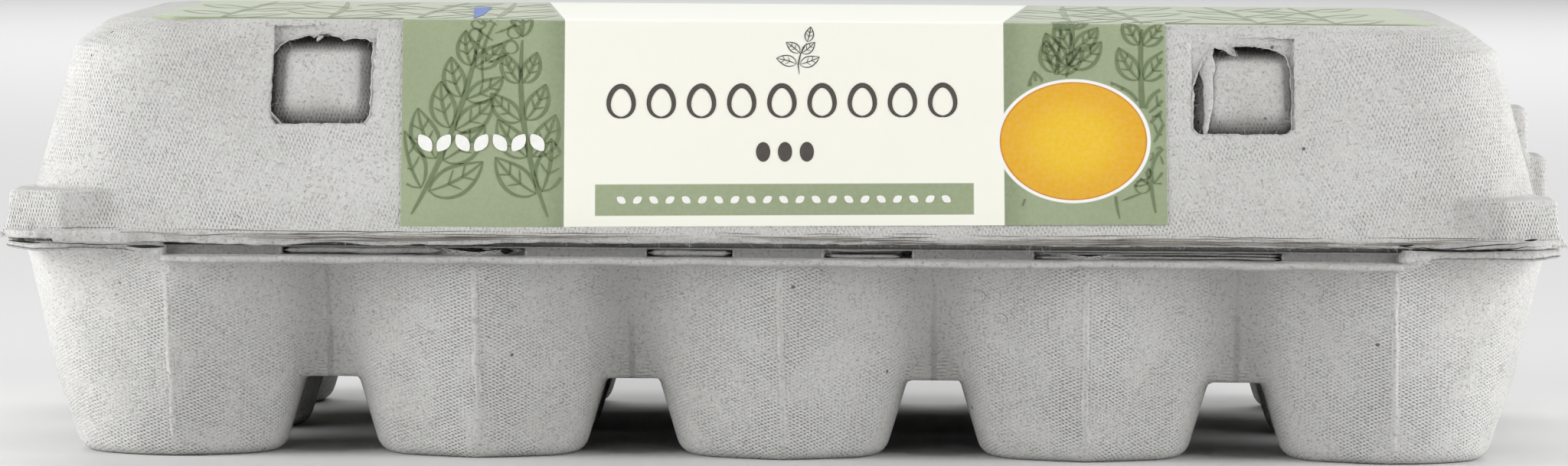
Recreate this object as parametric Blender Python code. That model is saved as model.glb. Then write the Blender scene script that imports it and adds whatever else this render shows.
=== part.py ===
"""A shut moulded-pulp carton for fifteen eggs, three rows of five, with a printed label over its lid.

Metres, +Z up. The carton stands on its fifteen cups, its front faces -Y and its origin is the
middle of its footprint. It is shut, so the tray and the lid are solid inside.
"""

import math

import bmesh
import bpy

# Driving dimensions, in metres
LENGTH = 0.252
COLUMNS = 5
ROWS = 3
PITCH = 0.049
MARGIN = (LENGTH - (COLUMNS - 1) * PITCH) / 2
DEPTH = (ROWS - 1) * PITCH + 2 * MARGIN
HALF_X = LENGTH / 2
HALF_Y = DEPTH / 2
GAP = 0.0004

# Heights of the levels where the form changes
WEB = 0.0124
RIM_FOOT = 0.0323
TRAY_TOP = 0.0352
LID_FOOT = TRAY_TOP + GAP
LID_RIM_TOP = 0.0372
WALL_FOOT = 0.0379
FOLD = 0.0664
SHOULDER = 0.0708
TOP_FALL = 0.0010

# The cups: half-widths at the foot, and how fast they widen upwards
CUP_HALF_X = 0.0166
CUP_HALF_Y = 0.0140
CUP_DRAFT = 0.30
END_DRAFT = 0.235
CUP_ROUNDNESS = 2.1
PROW = 0.0012
PROW_SPREAD = 35.0
CUP_SIDES = 24
FOOT_ROUND = 0.0026

# The wall between two cups: its height, and its reach past the middles of the outermost cups
WEB_RADIUS = 0.0050
WEB_REACHES = (
    (WEB, 0.0064),
    (WEB + 0.0009, 0.0073),
    (0.0200, 0.0094),
    (0.0260, 0.0114),
    (0.0310, 0.0130),
    (TRAY_TOP - 0.0015, 0.0140),
)

# The hollow under each post between four cups, as radii at heights
POCKET = ((WEB - 0.0020, 0.0122), (0.0200, 0.0085), (0.0280, 0.0050))

# How much a cup's outline is drawn in by the round of its foot, at heights
FOOT_LEVELS = ((0.0, 1.0), (0.0006, 0.45), (0.0017, 0.10), (0.0032, 0.0))

# The rim, and how far the lid's wall stands in from it at the levels above
RIM_RADIUS = 0.0090
RIM_INSET = 0.0006
RIM_EDGE = 0.0008
WALL_RADIUS = 0.0150
WALL_FOOT_INSET = 0.0034
FOLD_INSET = 0.0106
SHOULDER_INSET = 0.0164
FACE_TOP_INSET = 0.0140
FACE_FLAT = 0.070
FACE_END = 0.098
WALL_SHARES = ((0.30, 0.65, 0.97), (0.20, 0.80))

# The hinge along the back, and the room that the rims leave for it
HINGE_ROOM = 0.0025
HINGE_LENGTH = 0.214
HINGE_FOOT = 0.0305
HINGE_TOP = 0.0400
HINGE_EDGE = 0.0012

# The corner bosses and the stepped end ribs of the lid
BOSS_SIDE = 0.0168
BOSS_INSET = 0.0017
BOSS_TOP = 0.0436
BOSS_EDGE = 0.0010
BOSS_FLARE = 0.0006
BOSS_RADIUS = 0.0036
RIB_WIDTH = 0.0160
RIB_STEPS = ((0.0006, 0.0484), (0.0036, 0.0564))
RIB_EDGE = 0.0012
RIB_REACH = 0.030

# The lock: two windows in the lid's front, their buttons, and the folded strip in the rim
WINDOW_X = 0.0740
WINDOW_WIDTH = 0.0164
WINDOW_FOOT = 0.0538
WINDOW_TOP = 0.0682
WINDOW_RADIUS = 0.0028
WINDOW_BACK = -0.0590
NOTCH_TOP = 0.0697
NOTCH_SINK = 0.0011
BUTTON_BASE = (0.0154, 0.0136)
BUTTON_FACE = (0.0117, 0.0088)
BUTTON_SINK = 0.0008
BUTTON_FOOT = 0.0016
BUTTON_EDGE = 0.0010
BUTTON_RADIUS = 0.0022
STRIP_HALF = 0.0990
STRIP_FOOT = 0.0334
STRIP_SINK = 0.0016
SLOT_SINK = 0.0040
SLOT_FOOT = 0.0335
SLOT_TOP = 0.0349
SLOTS = ((0.0070, 0.0212), (0.0405, 0.0800))

# The label: a front panel that hangs from a wider panel on the lid's top
PAPER = 0.00035
PANEL_HALF = 0.06175
PANEL_FOOT = 0.0383
TOP_PANEL_HALF = 0.1030
TOP_PANEL_FRONT = -0.0585
TOP_PANEL_BACK = 0.0560
TOP_PANEL_RADIUS = 0.0060


def clear_scene():
    for thing in list(bpy.data.objects):
        bpy.data.objects.remove(thing, do_unlink=True)


def material(name, colour, roughness):
    made = bpy.data.materials.new(name)
    made.use_nodes = True
    shader = made.node_tree.nodes["Principled BSDF"]
    shader.inputs["Base Color"].default_value = (*colour, 1.0)
    shader.inputs["Roughness"].default_value = roughness
    shader.inputs["Metallic"].default_value = 0.0
    made.diffuse_color = (*colour, 1.0)
    return made


def object_from(bm, name, finish=None):
    """The object of a finished bmesh, with its faces pointing outwards."""
    bmesh.ops.recalc_face_normals(bm, faces=bm.faces[:])
    mesh = bpy.data.meshes.new(name)
    bm.to_mesh(mesh)
    bm.free()
    made = bpy.data.objects.new(name, mesh)
    bpy.context.scene.collection.objects.link(made)
    if finish is not None:
        mesh.materials.append(finish)
    return made


def lofted(rings):
    """A closed bmesh skinned over rings of equally many points, with a flat cap at each end."""
    bm = bmesh.new()
    loops = []
    for ring in rings:
        corners = [bm.verts.new(point) for point in ring]
        following = corners[1:] + corners[:1]
        loops.append([bm.edges.new(pair) for pair in zip(corners, following)])
    for lower, upper in zip(loops, loops[1:]):
        bmesh.ops.bridge_loops(bm, edges=lower + upper)
    for end in (loops[0], loops[-1]):
        bmesh.ops.contextual_create(bm, geom=end)
    return bm


def box_between(low, high):
    """A closed bmesh of a box between two corners."""
    bm = bmesh.new()
    bmesh.ops.create_cube(bm, size=1.0)
    for corner in bm.verts:
        corner.co = [(a + b) / 2 + c * (b - a) for a, b, c in zip(low, high, corner.co)]
    return bm


def boolean(target, tools, operation):
    """Joins or cuts target with the tools, applies the result and removes the tools."""
    group = bpy.data.collections.new("tools")
    bpy.context.scene.collection.children.link(group)
    for tool in tools:
        bpy.context.scene.collection.objects.unlink(tool)
        group.objects.link(tool)
    step = target.modifiers.new(operation, "BOOLEAN")
    step.operation = operation
    step.operand_type = "COLLECTION"
    step.solver = "EXACT"
    step.collection = group
    graph = bpy.context.evaluated_depsgraph_get()
    mesh = bpy.data.meshes.new_from_object(target.evaluated_get(graph))
    target.modifiers.clear()
    spent = target.data
    target.data = mesh
    bpy.data.meshes.remove(spent)
    mesh.name = target.name
    for tool in tools:
        bpy.data.objects.remove(tool, do_unlink=True)
    bpy.data.collections.remove(group)


def smoothstep(value, start, end):
    t = min(max((value - start) / (end - start), 0.0), 1.0)
    return t * t * (3 - 2 * t)


def rim_ring(inset, radius, z, back=HALF_Y, steps=(24, 12), corner_steps=5):
    """A rounded rectangle inside the rim, counter-clockwise from its front left corner."""
    half_x = HALF_X - inset
    low = -(HALF_Y - inset)
    high = min(HALF_Y - inset, back)
    corners = (
        (-half_x + radius, low + radius, 180),
        (half_x - radius, low + radius, 270),
        (half_x - radius, high - radius, 0),
        (-half_x + radius, high - radius, 90),
    )
    ring = []
    for number, (x, y, start) in enumerate(corners):
        for k in range(corner_steps + 1):
            angle = math.radians(start + 90 * k / corner_steps)
            ring.append((x + radius * math.cos(angle), y + radius * math.sin(angle), z))
        last = ring[-1]
        next_x, next_y, next_start = corners[(number + 1) % 4]
        turn = math.radians(next_start)
        aim = (next_x + radius * math.cos(turn), next_y + radius * math.sin(turn))
        count = steps[number % 2]
        for k in range(1, count):
            share = k / count
            ring.append((last[0] + (aim[0] - last[0]) * share, last[1] + (aim[1] - last[1]) * share, z))
    return ring


def lid_top(y):
    """Height of the lid's top, which falls a little from its front edge to its back edge."""
    front = -(HALF_Y - FACE_TOP_INSET)
    back = HALF_Y - SHOULDER_INSET
    return SHOULDER - TOP_FALL * (y - front) / (back - front)


def face_inset(z):
    """How far the flat middle of the lid's front stands in from the rim at a height."""
    share = (z - WALL_FOOT) / (SHOULDER - WALL_FOOT)
    return WALL_FOOT_INSET + (FACE_TOP_INSET - WALL_FOOT_INSET) * share


def lid_ring(inset, radius, z):
    """A ring of the lid's wall. The middle of the front runs flat up to the top, with no bevel."""
    ring = []
    for x, y, height in rim_ring(inset, radius, z):
        if y < -(HALF_Y - inset) + 1e-6:
            flat = 1 - smoothstep(abs(x), FACE_FLAT, FACE_END)
            y += flat * (-(HALF_Y - face_inset(z)) - y)
        ring.append((x, y, height))
    return ring


def make_lid(pulp):
    rings = [
        rim_ring(0.0, RIM_RADIUS, LID_FOOT, HALF_Y - HINGE_ROOM),
        rim_ring(0.0003, RIM_RADIUS, LID_RIM_TOP, HALF_Y - HINGE_ROOM),
        rim_ring(WALL_FOOT_INSET, WALL_RADIUS, WALL_FOOT, HALF_Y - WALL_FOOT_INSET),
    ]
    wall = ((WALL_FOOT, WALL_FOOT_INSET), (FOLD, FOLD_INSET), (SHOULDER, SHOULDER_INSET))
    for (low, start), (high, end), shares in zip(wall, wall[1:], WALL_SHARES):
        for share in shares:
            inset = start + (end - start) * share
            rings.append(lid_ring(inset, WALL_RADIUS, low + (high - low) * share))
    edge = lid_ring(SHOULDER_INSET, WALL_RADIUS, SHOULDER)
    rings.append([(x, y, lid_top(y)) for x, y, _ in edge])
    lid = object_from(lofted(rings), "lid", pulp)
    boolean(lid, [*corner_bosses(), *end_ribs()], "UNION")
    boolean(lid, window_cutters(), "DIFFERENCE")
    return lid


def boss_ring(centre, half, z, corner_steps=3):
    """A rounded square round a corner boss's middle."""
    radius = BOSS_RADIUS
    ring = []
    for number in range(4):
        side_x = -1 if number in (0, 3) else 1
        side_y = -1 if number in (0, 1) else 1
        for k in range(corner_steps + 1):
            angle = math.radians(180 + 90 * number + 90 * k / corner_steps)
            x = centre[0] + side_x * (half - radius) + radius * math.cos(angle)
            y = centre[1] + side_y * (half - radius) + radius * math.sin(angle)
            ring.append((x, y, z))
    return ring


def corner_bosses():
    """The four square bosses that stiffen the corners of the lid's rim."""
    bosses = []
    half = BOSS_SIDE / 2
    for side_x in (-1, 1):
        for side_y in (-1, 1):
            back_room = HINGE_ROOM if side_y > 0 else 0.0
            centre = (
                side_x * (HALF_X - BOSS_INSET - half),
                side_y * (HALF_Y - BOSS_INSET - back_room - half),
            )
            rings = [
                boss_ring(centre, half + BOSS_FLARE, LID_FOOT + BOSS_FLARE),
                boss_ring(centre, half, BOSS_TOP - BOSS_EDGE),
                boss_ring(centre, half - BOSS_EDGE, BOSS_TOP),
            ]
            bosses.append(object_from(lofted(rings), "boss"))
    return bosses


def end_ribs():
    """Two stepped ribs on the right end of the lid, above the valleys between the rows."""
    ribs = []
    for row in range(ROWS - 1):
        y = (row - (ROWS - 2) / 2) * PITCH
        ribs += [rib_step(y, inset, top) for inset, top in RIB_STEPS]
    return ribs


def rib_step(y, inset, top):
    """One step of a rib: a block with its upper edges taken off."""
    inner = HALF_X - RIB_REACH
    rings = []
    for shrink, z in ((0.0, LID_FOOT + BOSS_FLARE), (0.0, top - RIB_EDGE), (RIB_EDGE, top)):
        low = y - RIB_WIDTH / 2 + shrink
        high = y + RIB_WIDTH / 2 - shrink
        outer = HALF_X - inset - shrink
        rings.append([(inner, low, z), (outer, low, z), (outer, high, z), (inner, high, z)])
    return object_from(lofted(rings), "rib")


def upright_ring(x, z, half_x, half_z, radius, y_at, corner_steps=3):
    """A rounded rectangle that stands up, its depth given by a function of height."""
    ring = []
    for number in range(4):
        side_x = -1 if number in (0, 3) else 1
        side_z = -1 if number in (0, 1) else 1
        for k in range(corner_steps + 1):
            angle = math.radians(180 + 90 * number + 90 * k / corner_steps)
            px = x + side_x * (half_x - radius) + radius * math.cos(angle)
            pz = z + side_z * (half_z - radius) + radius * math.sin(angle)
            ring.append((px, y_at(pz), pz))
    return ring


def window_cutters():
    """The two lock windows and the shallow notch above each."""
    middle = (WINDOW_FOOT + WINDOW_TOP) / 2
    half_z = (WINDOW_TOP - WINDOW_FOOT) / 2
    cutters = []
    for side in (-1, 1):
        x = side * WINDOW_X
        rings = [
            upright_ring(x, middle, WINDOW_WIDTH / 2, half_z, WINDOW_RADIUS, lambda z, y=y: y)
            for y in (-HALF_Y, WINDOW_BACK)
        ]
        cutters.append(object_from(lofted(rings), "window"))
        notch_middle = (middle + NOTCH_TOP) / 2
        notch_half = (NOTCH_TOP - middle) / 2
        rings = [
            upright_ring(x, notch_middle, WINDOW_WIDTH / 2, notch_half, 0.0006, depth, 1)
            for depth in (lambda z: -HALF_Y, lambda z: -(HALF_Y - face_inset(z)) + NOTCH_SINK)
        ]
        cutters.append(object_from(lofted(rings), "notch"))
    return cutters


def make_button(name, side, pulp):
    """A pillow-shaped button of the inner lock flap, standing in its window."""
    x = side * WINDOW_X
    middle = (WINDOW_FOOT + WINDOW_TOP) / 2
    back = WINDOW_BACK - GAP
    rings = []
    for y in (back, back - BUTTON_FOOT):
        half_x, half_z = (size / 2 for size in BUTTON_BASE)
        rings.append(upright_ring(x, middle, half_x, half_z, BUTTON_RADIUS, lambda z, y=y: y))
    for spread in (BUTTON_EDGE, 0.0):
        half_x, half_z = ((size + spread) / 2 for size in BUTTON_FACE)
        sink = BUTTON_SINK + spread - HALF_Y
        radius = BUTTON_RADIUS - 0.0004
        rings.append(
            upright_ring(x, middle, half_x, half_z, radius, lambda z, sink=sink: face_inset(z) + sink)
        )
    return object_from(lofted(rings), name, pulp)


def cup_ring(column, row, z, shrink):
    """A cup's outline at a height: a rounded square with a faint prow towards front and back."""
    x0 = (column - (COLUMNS - 1) / 2) * PITCH
    y0 = (row - (ROWS - 1) / 2) * PITCH
    ring = []
    for k in range(CUP_SIDES):
        angle = 2 * math.pi * k / CUP_SIDES
        c = math.cos(angle)
        s = math.sin(angle)
        outer_x = (column == 0 and c < 0) or (column == COLUMNS - 1 and c > 0)
        half_x = CUP_HALF_X + (END_DRAFT if outer_x else CUP_DRAFT) * z
        half_y = CUP_HALF_Y + CUP_DRAFT * z
        reach = (abs(c) ** CUP_ROUNDNESS + abs(s) ** CUP_ROUNDNESS) ** (-1 / CUP_ROUNDNESS)
        from_prow = math.degrees(math.acos(min(abs(s), 1.0)))
        prow = PROW * max(0.0, 1.0 - from_prow / PROW_SPREAD)
        x = x0 + ((half_x - shrink) * reach + prow) * c
        y = y0 + ((half_y - shrink) * reach + prow) * s
        ring.append((x, y, z))
    return ring


def make_cup(column, row):
    rings = [cup_ring(column, row, z, FOOT_ROUND * share) for z, share in FOOT_LEVELS]
    for z in (WEB, (WEB + RIM_FOOT) / 2, RIM_FOOT + 0.0010):
        rings.append(cup_ring(column, row, z, 0.0))
    return object_from(lofted(rings), "cup")


def web_ring(z, reach):
    """A ring of the block between the cups, given by its reach past the outermost cups' middles."""
    half_x = (COLUMNS - 1) / 2 * PITCH + reach
    half_y = (ROWS - 1) / 2 * PITCH + reach
    ring = []
    for number in range(4):
        side_x = -1 if number in (0, 3) else 1
        side_y = -1 if number in (0, 1) else 1
        for k in range(4):
            angle = math.radians(180 + 90 * number + 30 * k)
            x = side_x * (half_x - WEB_RADIUS) + WEB_RADIUS * math.cos(angle)
            y = side_y * (half_y - WEB_RADIUS) + WEB_RADIUS * math.sin(angle)
            ring.append((x, y, z))
    return ring


def pocket(column, row):
    """The hollow that rises under the post between four cups, open below."""
    x0 = (column - (COLUMNS - 2) / 2) * PITCH
    y0 = (row - (ROWS - 2) / 2) * PITCH
    rings = []
    for z, radius in POCKET:
        turns = [math.radians(45 + 30 * k) for k in range(12)]
        rings.append([(x0 + radius * math.cos(a), y0 + radius * math.sin(a), z) for a in turns])
    return object_from(lofted(rings), "pocket")


def lock_strip_cutters():
    """The recess that the folded lock strip leaves in the rim's front, and the slots through it."""
    front = -HALF_Y - 0.001
    rim = -(HALF_Y - RIM_INSET)
    strip = box_between((-STRIP_HALF, front, STRIP_FOOT), (STRIP_HALF, rim + STRIP_SINK, TRAY_TOP + 0.001))
    cutters = [object_from(strip, "strip")]
    for start, end in SLOTS:
        for side in (-1, 1):
            low, high = sorted((side * start, side * end))
            slot = box_between((low, front, SLOT_FOOT), (high, rim + SLOT_SINK, SLOT_TOP))
            cutters.append(object_from(slot, "slot"))
    return cutters


def make_tray(pulp):
    back = HALF_Y - HINGE_ROOM
    rim = [
        rim_ring(RIM_INSET + RIM_EDGE, RIM_RADIUS, RIM_FOOT, back),
        rim_ring(RIM_INSET, RIM_RADIUS, RIM_FOOT + RIM_EDGE, back),
        rim_ring(RIM_INSET, RIM_RADIUS, TRAY_TOP, back),
    ]
    web = [web_ring(z, reach) for z, reach in WEB_REACHES]
    tray = object_from(lofted(rim), "tray", pulp)
    cups = [make_cup(column, row) for row in range(ROWS) for column in range(COLUMNS)]
    boolean(tray, [object_from(lofted(web), "web"), *cups], "UNION")
    pockets = [pocket(column, row) for row in range(ROWS - 1) for column in range(COLUMNS - 1)]
    boolean(tray, pockets, "DIFFERENCE")
    boolean(tray, lock_strip_cutters(), "DIFFERENCE")
    return tray


def make_hinge(pulp):
    """The folded pulp hinge that joins tray and lid along the back."""
    middle = (HINGE_FOOT + HINGE_TOP) / 2
    half_z = (HINGE_TOP - HINGE_FOOT) / 2
    near = HALF_Y - HINGE_ROOM + GAP
    rings = []
    for y, shrink in ((near, 0.0), (near + HINGE_EDGE, 0.0), (HALF_Y, HINGE_EDGE * 2)):
        half_x = HINGE_LENGTH / 2 - shrink
        rings.append(upright_ring(0.0, middle, half_x, half_z - shrink, 0.0008, lambda z, y=y: y, 2))
    return object_from(lofted(rings), "hinge_fold", pulp)


def top_rows():
    """Depths of the top panel's rows, close together round its corners."""
    radius = TOP_PANEL_RADIUS
    near = [TOP_PANEL_FRONT + radius * share for share in (0.0, 0.13, 0.5, 1.0)]
    far = [TOP_PANEL_BACK - radius * share for share in (1.0, 0.5, 0.13, 0.0)]
    return [*near, (near[-1] + far[0]) / 2, *far]


def top_half(y):
    """Half-width of the top panel at a depth, drawn in by its round corners."""
    radius = TOP_PANEL_RADIUS
    past = max(TOP_PANEL_FRONT + radius - y, y - TOP_PANEL_BACK + radius, 0.0)
    return TOP_PANEL_HALF - radius + math.sqrt(max(radius * radius - past * past, 0.0))


def label_place(x, row, stand):
    """A point of the label: row 0 is the front panel's foot, 1 its fold, and the rest lie on the top."""
    if row > 1:
        y = top_rows()[row - 2]
        return (x, y, lid_top(y) + stand)
    slope = (FACE_TOP_INSET - WALL_FOOT_INSET) / (SHOULDER - WALL_FOOT)
    z = lid_top(-(HALF_Y - FACE_TOP_INSET)) + stand if row else PANEL_FOOT
    return (x, face_inset(z) - HALF_Y - stand * math.hypot(1.0, slope), z)


def make_label(paper):
    """The printed paper label, one thin sheet that lies over the lid's top and down its front."""
    middle = [PANEL_HALF * (k / 4 - 1) for k in range(9)]
    wing_end = TOP_PANEL_HALF - TOP_PANEL_RADIUS - 0.002
    wing = [PANEL_HALF + (wing_end - PANEL_HALF) * k / 3 for k in (1, 2, 3)]
    rows = [middle, middle]
    for y in top_rows():
        side = [*wing, top_half(y)]
        rows.append([*(-x for x in reversed(side)), *middle, *side])
    bm = bmesh.new()
    tag = bm.verts.layers.int.new("row")
    sheet = []
    for row, line in enumerate(rows):
        corners = [bm.verts.new(label_place(x, row, GAP)) for x in line]
        for corner in corners:
            corner[tag] = row
        sheet.append(corners)
    for lower, upper in zip(sheet, sheet[1:]):
        spare = (len(upper) - len(lower)) // 2
        upper = upper[spare:len(upper) - spare]
        for k in range(len(lower) - 1):
            bm.faces.new((lower[k], lower[k + 1], upper[k + 1], upper[k]))
    raised = bmesh.ops.extrude_face_region(bm, geom=bm.faces[:])["geom"]
    for corner in raised:
        if isinstance(corner, bmesh.types.BMVert):
            corner.co = label_place(corner.co.x, corner[tag], GAP + PAPER)
    return object_from(bm, "label", paper)


def main():
    clear_scene()
    pulp = material("grey_pulp", (0.71, 0.70, 0.68), 0.92)
    paper = material("printed_paper", (0.60, 0.66, 0.50), 0.62)
    make_tray(pulp)
    make_lid(pulp)
    make_button("lock_button_left", -1, pulp)
    make_button("lock_button_right", 1, pulp)
    make_hinge(pulp)
    make_label(paper)


main()
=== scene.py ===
# %% [markdown]
# # A shut egg carton of moulded pulp
#
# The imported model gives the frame: its box, its nodes and its body. Everything below is in metres,
# +Z is up, the carton's front faces -Y, and each piece sits at the origin with its place in its mesh.
# The solids show the main forms. The pieces made here take their places and add what a mould, a
# tear and a printing press leave on the real carton.

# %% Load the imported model
import math

import bmesh
import bpy
import numpy as np
from mathutils import Matrix, Vector


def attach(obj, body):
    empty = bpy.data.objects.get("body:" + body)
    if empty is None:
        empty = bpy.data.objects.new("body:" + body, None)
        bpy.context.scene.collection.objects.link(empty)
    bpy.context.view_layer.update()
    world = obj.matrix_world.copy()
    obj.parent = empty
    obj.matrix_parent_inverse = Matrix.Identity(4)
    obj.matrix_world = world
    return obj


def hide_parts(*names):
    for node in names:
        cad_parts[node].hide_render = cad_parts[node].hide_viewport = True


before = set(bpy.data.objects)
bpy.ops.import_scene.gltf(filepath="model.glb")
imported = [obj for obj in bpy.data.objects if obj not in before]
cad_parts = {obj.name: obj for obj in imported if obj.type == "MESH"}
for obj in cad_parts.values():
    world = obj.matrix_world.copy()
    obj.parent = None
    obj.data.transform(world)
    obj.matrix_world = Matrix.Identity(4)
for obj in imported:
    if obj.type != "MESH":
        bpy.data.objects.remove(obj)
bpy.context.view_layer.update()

print("nodes:", sorted(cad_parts))

# %% [markdown]
# ## Sizes
#
# The carton holds three rows of five cups. The rim goes round where the tray meets the lid, and
# the lid's wall leans in from there to a fold, where a bevel leads on to the flat top. The sizes
# could be read off the solids each time. Naming them once keeps every later piece in step, because
# cups, rim, lid and label all have to meet at the same heights.

# %% Sizes of the carton
PITCH = 0.049
COLUMNS = [(k - 2) * PITCH for k in range(5)]
ROWS = [(k - 1) * PITCH for k in range(3)]
HALF_X = 0.126
HALF_Y = 0.077
HINGE_ROOM = 0.0025

WEB = 0.0124
CUP_HALF_X = 0.0166
CUP_HALF_Y = 0.0140
CUP_DRAFT = 0.30
END_DRAFT = 0.235
CUP_ROUNDNESS = 2.1
PROW = 0.0009
FACET = 54.0
FLATNESS = 0.55
WEB_LEVELS = [0.0, 0.0124, 0.0133, 0.0200, 0.0260, 0.0310, 0.0337]
WEB_REACHES = [0.0060, 0.0060, 0.0068, 0.0090, 0.0110, 0.0126, 0.0134]

LIP_FOOT = 0.0322
BAND_FOOT = 0.0334
BAND_TOP = 0.0350
LID_FOOT = 0.0358
RIM_TOP = 0.0371
WALL_FOOT = 0.0379
FOLD = 0.0664
SHOULDER = 0.0708
WALL_FOOT_INSET = 0.0034
FOLD_INSET = 0.0106
SHOULDER_INSET = 0.0164
FACE_TOP_INSET = 0.0140
WALL_RADIUS = 0.0150
print("cups:", len(COLUMNS) * len(ROWS))

# %% [markdown]
# ## The stage
#
# A pale floor and a pale room with five soft lights: one at each end, one in front, one above, and
# a large one that lifts the floor behind. A picture of a sky could light the carton as well. Area
# lights were chosen, because each wall's brightness can then be set apart from the others.

# %% Floor, room and lights
def stage_floor():
    bm = bmesh.new()
    bmesh.ops.create_grid(bm, x_segments=1, y_segments=1, size=4.0)
    mesh = bpy.data.meshes.new("floor")
    bm.to_mesh(mesh)
    bm.free()
    floor = bpy.data.objects.new("floor", mesh)
    bpy.context.scene.collection.objects.link(floor)
    paint = bpy.data.materials.new("floor_paint")
    paint.use_nodes = True
    shader = paint.node_tree.nodes["Principled BSDF"]
    shader.inputs["Base Color"].default_value = (0.72, 0.72, 0.72, 1.0)
    shader.inputs["Roughness"].default_value = 0.9
    mesh.materials.append(paint)
    return floor


def soft_light(name, place, aim, size, watts):
    lamp = bpy.data.lights.new(name, "AREA")
    lamp.shape = "RECTANGLE"
    lamp.size, lamp.size_y = size
    lamp.energy = watts
    holder = bpy.data.objects.new(name, lamp)
    holder.location = place
    holder.rotation_euler = (Vector(aim) - Vector(place)).to_track_quat("-Z", "Y").to_euler()
    bpy.context.scene.collection.objects.link(holder)
    return holder


stage_floor()
soft_light("left", (-0.62, -0.27, 0.21), (0.0, 0.0, 0.035), (0.46, 0.46), 5.2)
soft_light("right", (0.62, -0.27, 0.21), (0.0, 0.0, 0.035), (0.46, 0.46), 4.6)
soft_light("front", (-0.25, -1.70, 0.90), (0.0, 0.0, 0.04), (0.9, 0.5), 0.8)
soft_light("top", (0.0, 0.35, 1.30), (0.0, 0.0, 0.05), (1.2, 0.8), 6.0)
soft_light("back", (0.0, 1.9, 1.30), (0.0, 1.1, 0.0), (2.4, 1.2), 34.0)

room = bpy.data.worlds.new("room")
room.use_nodes = True
room.node_tree.nodes["Background"].inputs["Color"].default_value = (1.0, 1.0, 1.0, 1.0)
room.node_tree.nodes["Background"].inputs["Strength"].default_value = 0.07
bpy.context.scene.world = room
bpy.context.scene.view_settings.view_transform = "Standard"

# %% [markdown]
# ### The camera
#
# The photograph shows the carton almost level and with hardly any perspective. A close, wide lens
# would spread the end cups, so the camera stands well back with a long lens, a little above the lid.


# %% Camera
def aim_camera(place, yaw, pitch, roll, lens):
    """A camera turned a little to the left, tipped down by pitch and rolled about its own axis."""
    right = Vector((math.cos(yaw), math.sin(yaw), 0.0))
    ahead = Vector((-math.sin(yaw) * math.cos(pitch), math.cos(yaw) * math.cos(pitch), -math.sin(pitch)))
    down = ahead.cross(right)
    rolled_right = math.cos(roll) * right + math.sin(roll) * down
    rolled_down = -math.sin(roll) * right + math.cos(roll) * down
    turn = Matrix((rolled_right, -rolled_down, -ahead)).transposed()
    eye = bpy.data.cameras.new("camera")
    eye.sensor_fit = "HORIZONTAL"
    eye.sensor_width = 36.0
    eye.lens = lens
    eye.clip_start = 0.05
    eye.clip_end = 50.0
    holder = bpy.data.objects.new("camera", eye)
    holder.matrix_world = Matrix.Translation(place) @ turn.to_4x4()
    bpy.context.scene.collection.objects.link(holder)
    bpy.context.scene.camera = holder
    return holder


camera = aim_camera(Vector((0.021864, -1.30995, 0.11313)), 0.0174, 0.0611, -0.0061, 177.97)
print("camera at", [round(value, 3) for value in camera.location], "lens", camera.data.lens)

# %% [markdown]
# ## Shader sums
#
# A wire is a socket that can be used in a sum, as a number can. Every other node is made by one
# method, which takes its kind, its settings and what goes into its sockets. The nodes could be
# placed and linked one by one, but a finish is easier to read and to change as a line of sums.

# %% Wires
class Wire:
    """A node's output that adds, multiplies and compares like a number."""

    def __init__(self, tree, socket):
        self.tree = tree
        self.socket = socket

    def node(self, kind, settings, sockets, output=0):
        """A new node of a kind in the same tree, and the wire from one of its outputs."""
        made = self.tree.nodes.new(kind)
        for name, value in settings.items():
            setattr(made, name, value)
        for name, value in sockets.items():
            if isinstance(value, Wire):
                self.tree.links.new(value.socket, made.inputs[name])
            else:
                made.inputs[name].default_value = value
        return Wire(self.tree, made.outputs[output])

    def sum(self, operation, *others):
        return self.node("ShaderNodeMath", {"operation": operation}, dict(enumerate((self, *others))))

    def __add__(self, other):
        return self.sum("ADD", other)

    def __radd__(self, other):
        return self.sum("ADD", other)

    def __mul__(self, other):
        return self.sum("MULTIPLY", other)

    def __rmul__(self, other):
        return self.sum("MULTIPLY", other)

    def __sub__(self, other):
        return self.sum("SUBTRACT", other)

    def __rsub__(self, other):
        return self * -1.0 + other

    def __truediv__(self, other):
        return self.sum("DIVIDE", other)

    def __neg__(self):
        return self * -1.0

    def __abs__(self):
        return self.sum("ABSOLUTE")

    def __pow__(self, other):
        return self.sum("POWER", other)

    def most(self, other):
        return self.sum("MAXIMUM", other)

    def ramp(self, start, end, low=0.0, high=1.0):
        """A soft step from low to high as the wire goes from start to end."""
        sockets = {"Value": self, "From Min": start, "From Max": end, "To Min": low, "To Max": high}
        return self.node("ShaderNodeMapRange", {"interpolation_type": "SMOOTHSTEP"}, sockets)

    def mix(self, first, second):
        """The colour first where the wire is 0, and second where it is 1."""
        return self.node("ShaderNodeMix", {"data_type": "RGBA"}, {0: self, 6: first, 7: second}, 2)

    def vector(self, operation, other):
        return self.node("ShaderNodeVectorMath", {"operation": operation}, {0: self, 1: other})

    def part(self, axis):
        """One of a vector's three numbers."""
        return self.node("ShaderNodeSeparateXYZ", {}, {0: self}, axis)

    def noise(self, scale, detail=2.0, roughness=0.5):
        """Soft noise around 0.5 at a vector, with scale in waves for each metre."""
        sockets = {"Vector": self, "Scale": scale, "Detail": detail, "Roughness": roughness}
        return self.node("ShaderNodeTexNoise", {}, sockets)


def new_material(name, roughness):
    """A material with its shader, its object coordinates and a wire to start sums from."""
    made = bpy.data.materials.new(name)
    made.use_nodes = True
    tree = made.node_tree
    shader = tree.nodes["Principled BSDF"]
    shader.inputs["Roughness"].default_value = roughness
    shader.inputs["Specular IOR Level"].default_value = 0.25
    place = Wire(tree, tree.nodes.new("ShaderNodeTexCoord").outputs["Object"])
    return made, shader, place


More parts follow.
